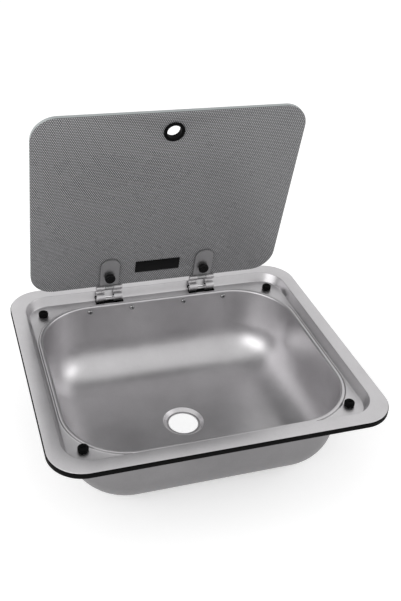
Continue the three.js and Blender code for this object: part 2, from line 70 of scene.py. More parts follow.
print("nodes in the frame:", len(frame["nodes"]))

# %% [markdown]
# ## Sizes
# All sizes are written in millimetres, and a piece becomes metres only when it is finished. Whatever
# the frame can tell is asked of the frame, so that the fine pieces stay on the solids they dress: the
# flange's edge, its height, the pivot line of the hinges and the angle at which the lid stands open.

# %% Sizes of the sheet, the seal and the lid
MM = 0.001
sink_low, sink_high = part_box("sink_bowl")
HALF_X, HALF_Y, TOP_Z = sink_high.x / MM, sink_high.y / MM, sink_high.z / MM
lid_joint = frame["record"]["behaviour"]["joints"][0]
PIVOT = Vector(lid_joint["pos_m"]) / MM
OPEN_ANGLE = math.radians(lid_joint["range_deg"][1])

SHEET = 1.0                 # thickness of the steel
FLANGE_CORNER, LIP = 42.0, 0.45
RECESS_EDGE, STEP_RUN, STEP_DROP, STEP_CORNER = 18.5, 5.0, 13.0, 35.0
STEP_BEND, STEP_FOOT = 1.3, 2.1
SIDE_LEDGE, REAR_LEDGE, FRONT_LEDGE = 1.5, 9.8, 3.8
MOUTH_CORNER, BEAD_HEIGHT, BEAD_RISE, BEAD_FLAT, MOUTH_ROLL = 84.0, 1.5, 3.0, 1.4, 2.8
BOWL_DEPTH, WALL_DRAFT, BOTTOM_RADIUS, FLOOR_FALL = 120.0, math.radians(3), 57.0, 1.2
DRAIN_RADIUS, DRAIN_RUN, DRAIN_DROP, DRAIN_FOOT, HOLE_RADIUS = 28.25, 5.0, 4.0, 1.0, 20.5
GLASS_CORNER, GLASS_EDGE = 33.0, 1.1
CORNER_STEPS, BEND_STEPS, BOTTOM_STEPS, FLOOR_STEPS, ROUND_STEPS = 20, 6, 18, 10, 48

FOOT_X = HALF_X - RECESS_EDGE - STEP_RUN
FOOT_Y = HALF_Y - RECESS_EDGE - STEP_RUN
BEAD_X, BEAD_REAR, BEAD_FRONT = FOOT_X - SIDE_LEDGE, FOOT_Y - REAR_LEDGE, FRONT_LEDGE - FOOT_Y
LEDGE_Z = TOP_Z - STEP_DROP
CREST_Z = LEDGE_Z + BEAD_HEIGHT
print(f"pivot line at y {PIVOT.y:.1f}, z {PIVOT.z:.1f} mm")
print(f"lid open by {math.degrees(OPEN_ANGLE):.0f} degrees")

# %% [markdown]
# ## The camera
# The photograph looks down on the sink from the front left, and the lid's edges converge, so the
# lens is a normal one at a metre and a quarter. The camera is placed by its distance and its two
# angles from the point it looks at, then rolled a little, which is easier to correct than a matrix.

# %% Camera
FRAME_WIDTH, FRAME_HEIGHT = 401, 601
FOCAL_PIXELS = 844.8
CENTRE_PIXEL = (192.8, 275.5)
AZIMUTH, ELEVATION, ROLL = math.radians(-19.88), math.radians(31.42), math.radians(4.10)
LOOKS_AT = Vector((62.8, 178.1, 7.3)) * MM
DISTANCE = 1264.3 * MM
SENSOR = 36.0


def aim(azimuth, elevation, roll=0.0):
    """The turn of a camera or lamp that looks back along a direction given by two angles."""
    back = Vector((
        math.sin(azimuth) * math.cos(elevation),
        -math.cos(azimuth) * math.cos(elevation),
        math.sin(elevation),
    ))
    right = Vector((math.cos(azimuth), math.sin(azimuth), 0))
    up = back.cross(right)
    side = right * math.cos(roll) + up * math.sin(roll)
    head = up * math.cos(roll) - right * math.sin(roll)
    return back, Matrix((side, head, back)).transposed()


lens = bpy.data.cameras.new("photo_lens")
lens.sensor_fit = "VERTICAL"
lens.sensor_width = lens.sensor_height = SENSOR
lens.lens = SENSOR * FOCAL_PIXELS / FRAME_HEIGHT
lens.shift_x = (FRAME_WIDTH / 2 - CENTRE_PIXEL[0]) / FRAME_HEIGHT
lens.shift_y = (CENTRE_PIXEL[1] - FRAME_HEIGHT / 2) / FRAME_HEIGHT
lens.clip_start = 0.01
camera = bpy.data.objects.new("photo_camera", lens)
back, turn = aim(AZIMUTH, ELEVATION, ROLL)
camera.matrix_world = Matrix.Translation(LOOKS_AT + back * DISTANCE) @ turn.to_4x4()
bpy.context.scene.collection.objects.link(camera)
bpy.context.scene.camera = camera
print("camera at", [round(v / MM) for v in camera.location])

# %% [markdown]
# ## Tools for shapes
# Nearly every piece is one of four shapes: a ring of outlines joined into a skin, a profile turned
# about an axis, an outline given a thickness, or a strip that follows a path. Three small helpers
# make the first three and a Geometry Nodes tree the last, so each piece is mostly its own sizes.


# %% Outlines and arcs
def arc(centre, radius, start, end, steps):
    """Points of an arc, both ends included. Angles in degrees."""
    points = []
    for i in range(steps + 1):
        angle = math.radians(start + (end - start) * i / steps)
        points.append((centre[0] + radius * math.cos(angle), centre[1] + radius * math.sin(angle)))
    return points


def rounded(x0, x1, y0, y1, radius, steps=CORNER_STEPS):
    """A rectangle with round corners, counter-clockwise from its right rear corner."""
    return (
        arc((x1 - radius, y1 - radius), radius, 0, 90, steps)
        + arc((x0 + radius, y1 - radius), radius, 90, 180, steps)
        + arc((x0 + radius, y0 + radius), radius, 180, 270, steps)
        + arc((x1 - radius, y0 + radius), radius, 270, 360, steps)
    )


def circle(x, y, radius, steps=ROUND_STEPS):
    return arc((x, y), radius, 0, 360 - 360 / steps, steps - 1)


# %% Skins, turned shapes and plates
POLE_DOUBLES = 1e-5         # points of a pole closer than this are one


def skin(rows, closed_rows=False, caps=False):
    """A mesh from rows of points, all of one length, each row a closed loop."""
    mesh = bmesh.new()
    grid = [[mesh.verts.new(point) for point in row] for row in rows]
    pairs = list(zip(grid, grid[1:]))
    if closed_rows:
        pairs.append((grid[-1], grid[0]))
    count = len(rows[0])
    for low, high in pairs:
        for i in range(count):
            j = (i + 1) % count
            mesh.faces.new((low[i], low[j], high[j], high[i]))
    if caps:
        mesh.faces.new(reversed(grid[0]))
        mesh.faces.new(grid[-1])
    return mesh


def turned(profile, steps=ROUND_STEPS):
    """A profile of (radius, height) pairs turned about z, with its poles closed."""
    rows = []
    for radius, height in profile:
        row = []
        for i in range(steps):
            angle = 2 * math.pi * i / steps
            row.append(Vector((radius * math.cos(angle), radius * math.sin(angle), height)))
        rows.append(row)
    mesh = skin(rows, closed_rows=profile[0][0] > 0 and profile[-1][0] > 0)
    bmesh.ops.remove_doubles(mesh, verts=mesh.verts, dist=POLE_DOUBLES)
    return mesh


def plate(outline, low, high, holes=()):
    """An outline with holes given a thickness along z. Its walls and rims stay clean loops."""
    mesh = bmesh.new()
    for loop in (outline, *holes):
        verts = [mesh.verts.new((x, y, low)) for x, y in loop]
        for a, b in zip(verts, verts[1:] + verts[:1]):
            mesh.edges.new((a, b))
    bmesh.ops.triangle_fill(mesh, edges=mesh.edges[:], use_beauty=True)
    flat = mesh.faces[:]
    moved = bmesh.ops.extrude_face_region(mesh, geom=flat, use_keep_orig=True)["geom"]
    for vert in (item for item in moved if isinstance(item, bmesh.types.BMVert)):
        vert.co.z = high
    bmesh.ops.recalc_face_normals(mesh, faces=mesh.faces)
    return mesh


# %% Placing and easing a piece
LID_PLACE = Matrix.Translation(PIVOT) @ Matrix.Rotation(-OPEN_ANGLE, 4, "X")
STAYS = Matrix.Identity(4)
SHARP = math.radians(32)
SQUARE = 50                 # degrees: a bevel from here on leaves out what is already rounded


def face_outward(mesh):
    """Turns the faces of a closed mesh outward. A negative volume shows that they point inward."""
    bmesh.ops.recalc_face_normals(mesh, faces=mesh.faces)
    if mesh.calc_volume(signed=True) < 0:
        bmesh.ops.reverse_faces(mesh, faces=mesh.faces)


def as_object(name, mesh, place=STAYS):
    """A bmesh becomes an object, still in millimetres, with its place in its mesh."""
    mesh.transform(place)
    face_outward(mesh)
    data = bpy.data.meshes.new(name)
    mesh.to_mesh(data)
    mesh.free()
    thing = bpy.data.objects.new(name, data)
    bpy.context.scene.collection.objects.link(thing)
    return thing


def settle(thing):
    """The evaluated shape becomes the object's own plain mesh, and its modifiers go."""
    graph = bpy.context.evaluated_depsgraph_get()
    data = bpy.data.meshes.new_from_object(thing.evaluated_get(graph))
    old = thing.data
    thing.modifiers.clear()
    thing.data = data
    bpy.data.meshes.remove(old)
    data.name = thing.name
    return thing


def ease(thing, width, segments=2, angle=30):
    """Rounds the edges as a press, a mould or a grinder leaves them. Width in millimetres."""
    bevel = thing.modifiers.new("eased edges", "BEVEL")
    bevel.width = width
    bevel.segments = segments
    bevel.limit_method = "ANGLE"
    bevel.angle_limit = math.radians(angle)
    bevel.use_clamp_overlap = True
    return settle(thing)


# %% Welding, joining and cutting
WELD = 0.02                 # points closer than this are one, in a joined or cut shape
FLAT = math.radians(1)      # faces that meet at less than this are one


def weld(thing):
    """Merges the slivers that joining, cutting and bevelling leave."""
    mesh = bmesh.new()
    mesh.from_mesh(thing.data)
    bmesh.ops.remove_doubles(mesh, verts=mesh.verts, dist=WELD)
    bmesh.ops.dissolve_degenerate(mesh, edges=mesh.edges, dist=WELD)
    bmesh.ops.dissolve_limit(mesh, angle_limit=FLAT, verts=mesh.verts, edges=mesh.edges)
    face_outward(mesh)
    mesh.to_mesh(thing.data)
    mesh.free()
    return thing


def combine(thing, others, operation):
    """Joins shapes to a piece, or takes them away from it, one after the other."""
    for other in others:
        change = thing.modifiers.new("combine", "BOOLEAN")
        change.operation = operation
        change.solver = "EXACT"
        change.object = other
    settle(thing)
    for other in others:
        bpy.data.objects.remove(other)
    return thing


def union(name, meshes):
    """Several closed shapes joined into one body, still in square axes."""
    first, *others = [as_object(f"{name} {i}", mesh) for i, mesh in enumerate(meshes)]
    combine(first, others, "UNION")
    first.name = name
    return first


def cut(thing, cutters):
    return combine(thing, cutters, "DIFFERENCE")


# %% Finishing a piece
def finish(thing, body, slot, material, *nodes, sharp=SHARP):
    """The change to metres, smooth shading, one material, and the body that the piece rides on."""
    thing.data.transform(Matrix.Scale(MM, 4))
    thing.data.materials.clear()
    thing.data.materials.append(material)
    thing.data.polygons.foreach_set("use_smooth", [True] * len(thing.data.polygons))
    thing.data.polygons.foreach_set("material_index", [0] * len(thing.data.polygons))
    thing.data.set_sharp_from_angle(angle=sharp)
    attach(thing, body)
    if nodes:
        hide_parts(*nodes)
    print(f"{thing.name}: {len(thing.data.polygons)} faces")
    return thing


# %% [markdown]
# ## Effects that several finishes share
# Steel, rubber and plastic differ in their shader, but not in what happens to their surface: fine
# grain, uneven gloss from hands and cloths, and convex edges painted lighter, partly as rubbed wear
# and partly as a painted highlight. Each effect is one node group with its sizes as inputs, built
# once and placed in each material with its own values.


# %% A small language for nodes
def new_group(name, kind, takes, gives):
    group = bpy.data.node_groups.new(name, kind)
    for label, socket_type, value in takes:
        socket = group.interface.new_socket(label, in_out="INPUT", socket_type=socket_type)
        if value is not None:
            socket.default_value = value
    for label, socket_type in gives:
        group.interface.new_socket(label, in_out="OUTPUT", socket_type=socket_type)
    start = group.nodes.new("NodeGroupInput")
    end = group.nodes.new("NodeGroupOutput")
    return group, start, end


def put(tree, kind, settings=None, **inputs):
    """A node with its settings, its inputs given as values or as other nodes' outputs."""
    node = tree.nodes.new(kind)
    for key, value in (settings or {}).items():
        setattr(node, key, value)
    for key, value in inputs.items():
        socket = node.inputs[int(key[1:]) if key[1:].isdigit() else key.replace("_", " ")]
        if isinstance(value, bpy.types.NodeSocket):
            tree.links.new(value, socket)
        else:
            socket.default_value = value
    return node


def maths(tree, operation, a, b=0.0, c=0.0):
    return put(tree, "ShaderNodeMath", {"operation": operation}, i0=a, i1=b, i2=c).outputs[0]


def ramp(tree, value, low, high, out_low=0.0, out_high=1.0):
    """A value between low and high, stretched to run from out_low to out_high."""
    node = put(tree, "ShaderNodeMapRange", None, Value=value)
    for label, number in (("From Min", low), ("From Max", high), ("To Min", out_low), ("To Max", out_high)):
        node.inputs[label].default_value = number
    return node.outputs[0]


def blend_colour(tree, mask, first, second):
    node = put(tree, "ShaderNodeMix", {"data_type": "RGBA"})
    for socket, value in ((node.inputs[0], mask), (node.inputs[6], first), (node.inputs[7], second)):
        if isinstance(value, bpy.types.NodeSocket):
            tree.links.new(value, socket)
        else:
            socket.default_value = value
    return node.outputs[2]


# %% Grain, gloss, and edges lightened by rubbed wear and a painted highlight
FLOAT, VECTOR = "NodeSocketFloat", "NodeSocketVector"
GEOMETRY, OBJECT, MATERIAL = "NodeSocketGeometry", "NodeSocketObject", "NodeSocketMaterial"
BUMP_HEIGHT = 0.05 * MM
NOISE_LOW, NOISE_HIGH = 0.3, 0.7            # the range that a noise texture seldom leaves
CONVEX_LOW, CONVEX_HIGH = 0.505, 0.56       # pointiness where an edge starts to take the lighter colour of rubbed wear and painted highlight, and takes it fully
MARKS_PER_METRE = 900.0


def make_grain():
    """Fine grain: a height to bump with, drawn out along one axis by the stretch input."""
    takes = [
        ("Vector", VECTOR, None),
        ("Size mm", FLOAT, 0.4),
        ("Stretch", VECTOR, (1, 1, 1)),
        ("Depth", FLOAT, 0.1),
    ]
    gives = [("Height", FLOAT), ("Normal", VECTOR)]
    group, start, end = new_group("fine grain", "ShaderNodeTree", takes, gives)
    scale = maths(group, "DIVIDE", 1.0, maths(group, "MULTIPLY", start.outputs["Size mm"], MM))
    pulled = put(group, "ShaderNodeVectorMath", {"operation": "MULTIPLY"}, i0=start.outputs["Vector"],
                 i1=start.outputs["Stretch"]).outputs[0]
    noise = put(group, "ShaderNodeTexNoise", None, Vector=pulled, Scale=scale, Detail=3.0, Roughness=0.6)
    bump = put(group, "ShaderNodeBump", None, Height=noise.outputs[0], Strength=start.outputs["Depth"])
    bump.inputs["Distance"].default_value = BUMP_HEIGHT
    group.links.new(noise.outputs[0], end.inputs["Height"])
    group.links.new(bump.outputs[0], end.inputs["Normal"])
    return group


def make_gloss():
    """Uneven gloss: clouds a few centimetres wide, broken by small marks."""
    takes = [
        ("Vector", VECTOR, None),
        ("Cloud mm", FLOAT, 40.0),
        ("Least", FLOAT, 0.3),
        ("Most", FLOAT, 0.4),
    ]
    gives = [("Roughness", FLOAT), ("Cloud", FLOAT)]
    group, start, end = new_group("uneven gloss", "ShaderNodeTree", takes, gives)
    scale = maths(group, "DIVIDE", 1.0, maths(group, "MULTIPLY", start.outputs["Cloud mm"], MM))
    clouds = put(group, "ShaderNodeTexNoise", None, Vector=start.outputs["Vector"], Scale=scale,
                 Detail=5.0, Roughness=0.65)
    even = ramp(group, clouds.outputs[0], NOISE_LOW, NOISE_HIGH)
    spread = maths(group, "SUBTRACT", start.outputs["Most"], start.outputs["Least"])
    level = maths(group, "MULTIPLY_ADD", even, spread, start.outputs["Least"])
    group.links.new(level, end.inputs["Roughness"])
    group.links.new(even, end.inputs["Cloud"])
    return group


def make_rubbed_and_lit_edges():
    """Lighter convex edges, broken up by noise: partly edges that hands rub, partly a painted highlight."""
    takes = [("Vector", VECTOR, None), ("Amount", FLOAT, 0.5)]
    group, start, end = new_group("rubbed edges", "ShaderNodeTree", takes, [("Mask", FLOAT)])
    bent = group.nodes.new("ShaderNodeNewGeometry").outputs["Pointiness"]
    convex = ramp(group, bent, CONVEX_LOW, CONVEX_HIGH)
    noise = put(group, "ShaderNodeTexNoise", None, Vector=start.outputs["Vector"],
                Scale=MARKS_PER_METRE, Detail=4.0)
    broken = ramp(group, noise.outputs[0], 0.3, 0.6, 0.35, 1.0)
    mask = maths(group, "MULTIPLY", maths(group, "MULTIPLY", convex, broken), start.outputs["Amount"])
    group.links.new(mask, end.inputs["Mask"])
    return group


GRAIN, GLOSS, RUBBED_AND_LIT = make_grain(), make_gloss(), make_rubbed_and_lit_edges()
print("shared effects:", GRAIN.name, GLOSS.name, RUBBED_AND_LIT.name)


# %% [markdown]
# ## Finishes
# The pressed sheet has a satin finish: grey, soft in its reflections, with a very fine grain and no
# brushing direction. Its outside isn't polished, so it is duller, and its colour is darkened as painted
# shade, the shade that falls under the flange. The hinge bands are the same steel, rolled, so their
# grain runs along them. The rubber is matt and slightly dusty, the moulded plastic a little glossier
# with a spark-eroded texture. Each is a Principled shader whose own sockets hold what is the same all over.


# %% Making a material
def material(name, metallic, **plain):
    """A Principled material. Plain values go straight on the shader's sockets."""
    made = bpy.data.materials.new(name)
    made.use_nodes = True
    tree = made.node_tree
    shader = tree.nodes["Principled BSDF"]
    shader.inputs["Metallic"].default_value = metallic
    for key, value in plain.items():
        shader.inputs[key.replace("_", " ")].default_value = value
    place = tree.nodes.new("ShaderNodeTexCoord").outputs["Object"]
    return made, tree, shader, place


def with_group(tree, group, **inputs):
    node = put(tree, "ShaderNodeGroup", {"node_tree": group})
    for key, value in inputs.items():
        socket = node.inputs[key.replace("_", " ")]
        if isinstance(value, bpy.types.NodeSocket):
            tree.links.new(value, socket)
        else:
            socket.default_value = value
    return node


def surface(name, metallic, light, dark, grain_mm, grain_depth, gloss, rub_and_highlight=0.0, rub_and_highlight_colour=None,
            stretch=(1, 1, 1), cloud_mm=40.0, **plain):
    """A finish made of the three shared effects, between two colours."""
    made, tree, shader, place = material(name, metallic, **plain)
    grain = with_group(tree, GRAIN, Vector=place, Size_mm=grain_mm, Stretch=stretch, Depth=grain_depth)
    cloud = with_group(tree, GLOSS, Vector=place, Cloud_mm=cloud_mm, Least=gloss[0], Most=gloss[1])
    spotted = maths(tree, "MULTIPLY_ADD", grain.outputs["Height"], 0.5,
                    maths(tree, "MULTIPLY", cloud.outputs["Cloud"], 0.5))
    colour = blend_colour(tree, spotted, (*dark, 1), (*light, 1))
    # Convex edges are blended toward a lighter colour: partly rubbed wear, partly a painted highlight.
    if rub_and_highlight:
        lightened = with_group(tree, RUBBED_AND_LIT, Vector=place, Amount=rub_and_highlight)
        colour = blend_colour(tree, lightened.outputs["Mask"], colour, (*rub_and_highlight_colour, 1))
    tree.links.new(colour, shader.inputs["Base Color"])
    tree.links.new(cloud.outputs["Roughness"], shader.inputs["Roughness"])
    tree.links.new(grain.outputs["Normal"], shader.inputs["Normal"])
    return made


# %% The plain finishes
# Each rub colour is lighter than its finish and lies on convex edges: partly rubbed wear, partly a painted
# highlight.
satin_steel = surface(
    "satin steel", 1.0, (0.62, 0.61, 0.62), (0.46, 0.45, 0.46), 1.1, 0.26, (0.33, 0.40),
    rub_and_highlight=0.2, rub_and_highlight_colour=(0.66, 0.65, 0.66), cloud_mm=70,
)
# Darker than the inside as painted shade under the flange; duller in gloss because unpolished.
unpolished_shaded_steel = surface(
    "unpolished steel", 1.0, (0.29, 0.285, 0.29), (0.20, 0.195, 0.20), 1.1, 0.20, (0.46, 0.54), cloud_mm=70,
)
band_steel = surface(
    "rolled band steel", 1.0, (0.55, 0.54, 0.55), (0.45, 0.44, 0.45), 0.3, 0.12, (0.42, 0.50),
    rub_and_highlight=0.2, rub_and_highlight_colour=(0.65, 0.65, 0.65), stretch=(1, 0.08, 0.08), cloud_mm=12,
)
tongue_steel = surface(
    "grey tongue steel", 1.0, (0.38, 0.38, 0.385), (0.30, 0.30, 0.305), 0.3, 0.12, (0.40, 0.48),
    rub_and_highlight=0.25, rub_and_highlight_colour=(0.48, 0.48, 0.48), cloud_mm=12,
)
# The screw heads' rims and domes turn nearly white on their convex edges: a painted highlight.
screw_steel = surface(
    "dark screw steel", 1.0, (0.26, 0.26, 0.265), (0.10, 0.10, 0.102), 0.3, 0.15, (0.12, 0.18),
    rub_and_highlight=0.8, rub_and_highlight_colour=(0.75, 0.75, 0.75), cloud_mm=5,
)
rubber = surface(
    "black rubber", 0.0, (0.003, 0.003, 0.0033), (0.0012, 0.0012, 0.0012), 0.3, 0.25, (0.55, 0.70),
    rub_and_highlight=0.15, rub_and_highlight_colour=(0.012, 0.012, 0.012), cloud_mm=15, Specular_IOR_Level=0.05,
)
plastic = surface(
    "black moulded plastic", 0.0, (0.003, 0.003, 0.0033), (0.0012, 0.0012, 0.0014), 0.18, 0.3, (0.34, 0.46),
    rub_and_highlight=0.2, rub_and_highlight_colour=(0.02, 0.02, 0.021), cloud_mm=10, Specular_IOR_Level=0.12,
)
finishes = (satin_steel, unpolished_shaded_steel, band_steel, tongue_steel, screw_steel, rubber, plastic)
print("finishes:", [made.name for made in finishes])

# %% [markdown]
# ## The printed glass
# The lid is toughened glass with a grey print of fine staggered dots fired into its under face. It
# could be clear glass over a second printed sheet, but at five millimetres the eye only sees a glossy
# plate with a pattern, so one solid plate carries both: the pattern is worked out from the lid's own
# plane, and the ground edge has a brighter finish of its own.

# %% Printed glass
DOT_PITCH, DOT_RADIUS = 2.7, 0.80
BETWEEN_DOTS, DOT_GREY, WORN_GREY = (0.10, 0.10, 0.104, 1), (0.47, 0.47, 0.48, 1), (0.6, 0.6, 0.6, 1)
WEAR = 0.03


def make_dots():
    """Staggered dots on the plane of the lid: a mask of 1 on a dot and 0 between."""
    takes = [
        ("Across", FLOAT, 0.0),
        ("Up", FLOAT, 0.0),
        ("Pitch mm", FLOAT, DOT_PITCH),
        ("Radius mm", FLOAT, DOT_RADIUS),
    ]
    group, start, end = new_group("staggered dots", "ShaderNodeTree", takes, [("Mask", FLOAT)])
    pitch = maths(group, "MULTIPLY", start.outputs["Pitch mm"], MM)
    rise = maths(group, "MULTIPLY", pitch, math.sqrt(3))
    radius = maths(group, "MULTIPLY", start.outputs["Radius mm"], MM)
    masks = []
    for shift in (0.0, 0.5):
        steps = []
        for position, period in ((start.outputs["Across"], pitch), (start.outputs["Up"], rise)):
            cell = maths(group, "ADD", maths(group, "DIVIDE", position, period), shift)
            part = maths(group, "SUBTRACT", maths(group, "FRACT", cell), 0.5)
            steps.append(maths(group, "MULTIPLY", part, period))
        squares = [maths(group, "POWER", step, 2.0) for step in steps]
        far = maths(group, "SQRT", maths(group, "ADD", *squares))
        masks.append(maths(group, "LESS_THAN", far, radius))
    group.links.new(maths(group, "MAXIMUM", *masks), end.inputs["Mask"])
    return group


def printed_glass_material():
    made, tree, shader, place = material("printed glass", 0.0, IOR=1.52, Specular_IOR_Level=0.3)
    parts = put(tree, "ShaderNodeSeparateXYZ", None, Vector=place)
    along = Vector((0, -math.cos(OPEN_ANGLE), math.sin(OPEN_ANGLE)))
    up = put(tree, "ShaderNodeVectorMath", {"operation": "DOT_PRODUCT"}, i0=place, i1=along).outputs["Value"]
    dots = with_group(tree, make_dots(), Across=parts.outputs["X"], Up=up)
    cloud = with_group(tree, GLOSS, Vector=place, Cloud_mm=60.0, Least=0.24, Most=0.32)
    grey = blend_colour(tree, dots.outputs["Mask"], BETWEEN_DOTS, DOT_GREY)
    lightened = blend_colour(tree, maths(tree, "MULTIPLY", cloud.outputs["Cloud"], WEAR), grey, WORN_GREY)
    tree.links.new(lightened, shader.inputs["Base Color"])
    tree.links.new(cloud.outputs["Roughness"], shader.inputs["Roughness"])
    return made


printed_glass = printed_glass_material()
glass_edge = surface("ground glass edge", 0.0, (0.42, 0.45, 0.45), (0.30, 0.33, 0.33), 0.3, 0.1, (0.15, 0.25),
                     IOR=1.52)
print("print:", DOT_PITCH, "mm pitch")

# %% [markdown]
# ## The pressed sheet
# The sink is drawn from one flat blank, so every feature is a fold or a radius in the same
# millimetre of steel: flange, step, ledge, bead, rolled mouth, wall, bottom radius and drain recess.
# It could be modelled by extruding and bevelling a box, but then the radii would not be known. Here
# it is a stack of rounded outlines, each with its inset and height, joined into one skin and then
# given its thickness, which is how the press tool itself is drawn.


# %% Outlines of the sheet, from the flange's edge to the drain hole
def outline_at(x, rear, front, corner, z):
    return [Vector((px, py, z)) for px, py in rounded(-x, x, front, rear, corner)]


def step_down(run, drop, bend, foot):
    """[inset, height] pairs down a step: the upper bend, the sloped wall, and the foot."""
    slope = math.atan2(drop, run)
    start, end = -bend * math.tan(slope / 2), run + foot * math.tan(slope / 2)
    pairs = []
    for i in range(BEND_STEPS + 1):
        angle = slope * i / BEND_STEPS
        pairs.append((start + bend * math.sin(angle), bend * (math.cos(angle) - 1)))
    for i in range(BEND_STEPS, -1, -1):
        angle = slope * i / BEND_STEPS
        pairs.append((end - foot * math.sin(angle), foot * (1 - math.cos(angle)) - drop))
    return pairs


def mouth_and_wall():
    """[inset, height] pairs over the bead, down the wall and round to the floor's edge."""
    pairs = []
    for i in range(2 * BEND_STEPS):
        part = i / (2 * BEND_STEPS)
        pairs.append((BEAD_RISE * part, LEDGE_Z + BEAD_HEIGHT * (1 - math.cos(math.pi * part)) / 2))
    pairs.append((BEAD_RISE, CREST_Z))
    roll_z, roll_start = CREST_Z - MOUTH_ROLL, BEAD_RISE + BEAD_FLAT
    for i in range(BEND_STEPS + 1):
        angle = (math.pi / 2 - WALL_DRAFT) * i / BEND_STEPS
        pairs.append((roll_start + MOUTH_ROLL * math.sin(angle), roll_z + MOUTH_ROLL * math.cos(angle)))
    inset, wall_z = pairs[-1]
    centre_z = TOP_Z + FLOOR_FALL - BOWL_DEPTH + BOTTOM_RADIUS
    wall_end = centre_z - BOTTOM_RADIUS * math.sin(WALL_DRAFT)
    centre = inset + (wall_z - wall_end) * math.tan(WALL_DRAFT) + BOTTOM_RADIUS * math.cos(WALL_DRAFT)
    for i in range(BOTTOM_STEPS + 1):
        angle = WALL_DRAFT + (math.pi / 2 - WALL_DRAFT) * i / BOTTOM_STEPS
        pairs.append((centre - BOTTOM_RADIUS * math.cos(angle), centre_z - BOTTOM_RADIUS * math.sin(angle)))
    return pairs


def upper_face():
    rows = []
    for i in range(BEND_STEPS):
        angle = math.pi / 2 * i / BEND_STEPS
        inset, z = LIP * (1 - math.cos(angle)), TOP_Z - LIP * (1 - math.sin(angle))
        rows.append(outline_at(HALF_X - inset, HALF_Y - inset, inset - HALF_Y, FLANGE_CORNER - inset, z))
    rows.append(outline_at(HALF_X - LIP, HALF_Y - LIP, LIP - HALF_Y, FLANGE_CORNER - LIP, TOP_Z))
    edge_x, edge_y = HALF_X - RECESS_EDGE, HALF_Y - RECESS_EDGE
    for inset, z in step_down(STEP_RUN, STEP_DROP, STEP_BEND, STEP_FOOT):
        x, y = edge_x - inset, edge_y - inset
        rows.append(outline_at(x, y, -y, STEP_CORNER - inset, TOP_Z + z))
    for inset, z in mouth_and_wall():
        rear, front = BEAD_REAR - inset, BEAD_FRONT + inset
        rows.append(outline_at(BEAD_X - inset, rear, front, MOUTH_CORNER - inset, z))
    floor_edge, floor_z = rows[-1], TOP_Z - BOWL_DEPTH
    drain = []
    for inset, z in step_down(DRAIN_RUN, DRAIN_DROP, STEP_BEND, DRAIN_FOOT):
        radius = DRAIN_RADIUS - inset
        drain.append(outline_at(radius, radius, -radius, radius, floor_z + z))
    for i in range(1, FLOOR_STEPS):
        part = i / FLOOR_STEPS
        fall = floor_z + FLOOR_FALL * (1 - part * part * (3 - 2 * part))
        row = [a.lerp(b, part) for a, b in zip(floor_edge, drain[0])]
        rows.append([Vector((point.x, point.y, fall)) for point in row])
    rows += drain
    rows.append(outline_at(HOLE_RADIUS, HOLE_RADIUS, -HOLE_RADIUS, HOLE_RADIUS, floor_z - DRAIN_DROP))
    return rows


SAME_POINT = 1e-6           # between doubled points at a corner there is no direction to follow


def under_face(rows):
    """Each point moved through the sheet, along the face's own normal."""
    under, last = [], len(rows) - 1
    for r, row in enumerate(rows):
        count, moved = len(row), []
        for i, point in enumerate(row):
            along = row[(i + 1) % count] - row[i - 1]
            if along.length < SAME_POINT:
                along = row[(i + 2) % count] - row[i - 2]
            inwards = rows[min(r + 1, last)][i] - rows[max(r - 1, 0)][i]
            moved.append(point - along.cross(inwards).normalized() * SHEET)
        under.append(moved)
    return under


# %% [markdown]
# The corners of two neighbouring outlines meet at a doubled point when the radius is the whole
# width, as round the drain, so doubles are merged after the skin is closed. The openings that the
# hinges need are then cut through the ledge and the foot of the step, with the same gaps as the
# solids have.

# %% Openings in the sheet, and the sheet itself
HINGE_X = (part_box("hinge_pin_right")[0].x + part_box("hinge_pin_right")[1].x) / 2 / MM
CUT_X, SLOT_X, GAP = 20.1, 6.3, 0.3
SHAFT_HOLE, NECK_HOLE, DRILL_REACH, DRILL_STEPS = 2.3, 2.7, 4, 24
OPENING_CORNER, OPENING_STEPS, SLOT_HEADROOM = 2.5, 8, 0.9
SHEET_DOUBLES = 1e-4        # points this close are one, where the corners of two outlines meet
CAVITY_FRONT, CAVITY_REAR, EYE_RADIUS, PIN_RADIUS, CUP_WALL = 149.2, 166.4, 4.6, 2.5, 1.6
SCREW_HALF, SCREW_Z = 30.7, TOP_Z - 20
MOUTH_REAR = BEAD_REAR - BEAD_RISE - BEAD_FLAT - MOUTH_ROLL
HINGES = (("left", -HINGE_X), ("right", HINGE_X))
BUFFER_NAMES = [f"lid_buffer_{end}_{side}" for end in ("rear", "front") for side in ("left", "right")]


def buffer_places():
    places = []
    for name in BUFFER_NAMES:
        low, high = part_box(name)
        places.append((((low.x + high.x) / 2 / MM, (low.y + high.y) / 2 / MM, 0), (0, 0, 0)))
    return places


def box_between(x0, x1, y0, y1, z0, z1):
    return plate([(x1, y1), (x0, y1), (x0, y0), (x1, y0)], z0, z1)


def drill(radius):
    profile = [(0, -DRILL_REACH), (radius, -DRILL_REACH), (radius, DRILL_REACH), (0, DRILL_REACH)]
    return turned(profile, DRILL_STEPS)


def hinge_openings(x):
    below = LEDGE_Z - SHEET - 2 * GAP
    rear = CAVITY_REAR + CUP_WALL
    plan = rounded(x - CUT_X, x + CUT_X, CAVITY_FRONT, rear, OPENING_CORNER, OPENING_STEPS)
    yield plate(plan, below, PIVOT.z + PIN_RADIUS + GAP)
    above = PIVOT.z + EYE_RADIUS + SLOT_HEADROOM
    for x0, x1 in ((x - CUT_X, x - SLOT_X), (x + SLOT_X, x + CUT_X)):
        yield box_between(x0, x1, PIVOT.y - EYE_RADIUS, CAVITY_REAR + GAP, below, above)


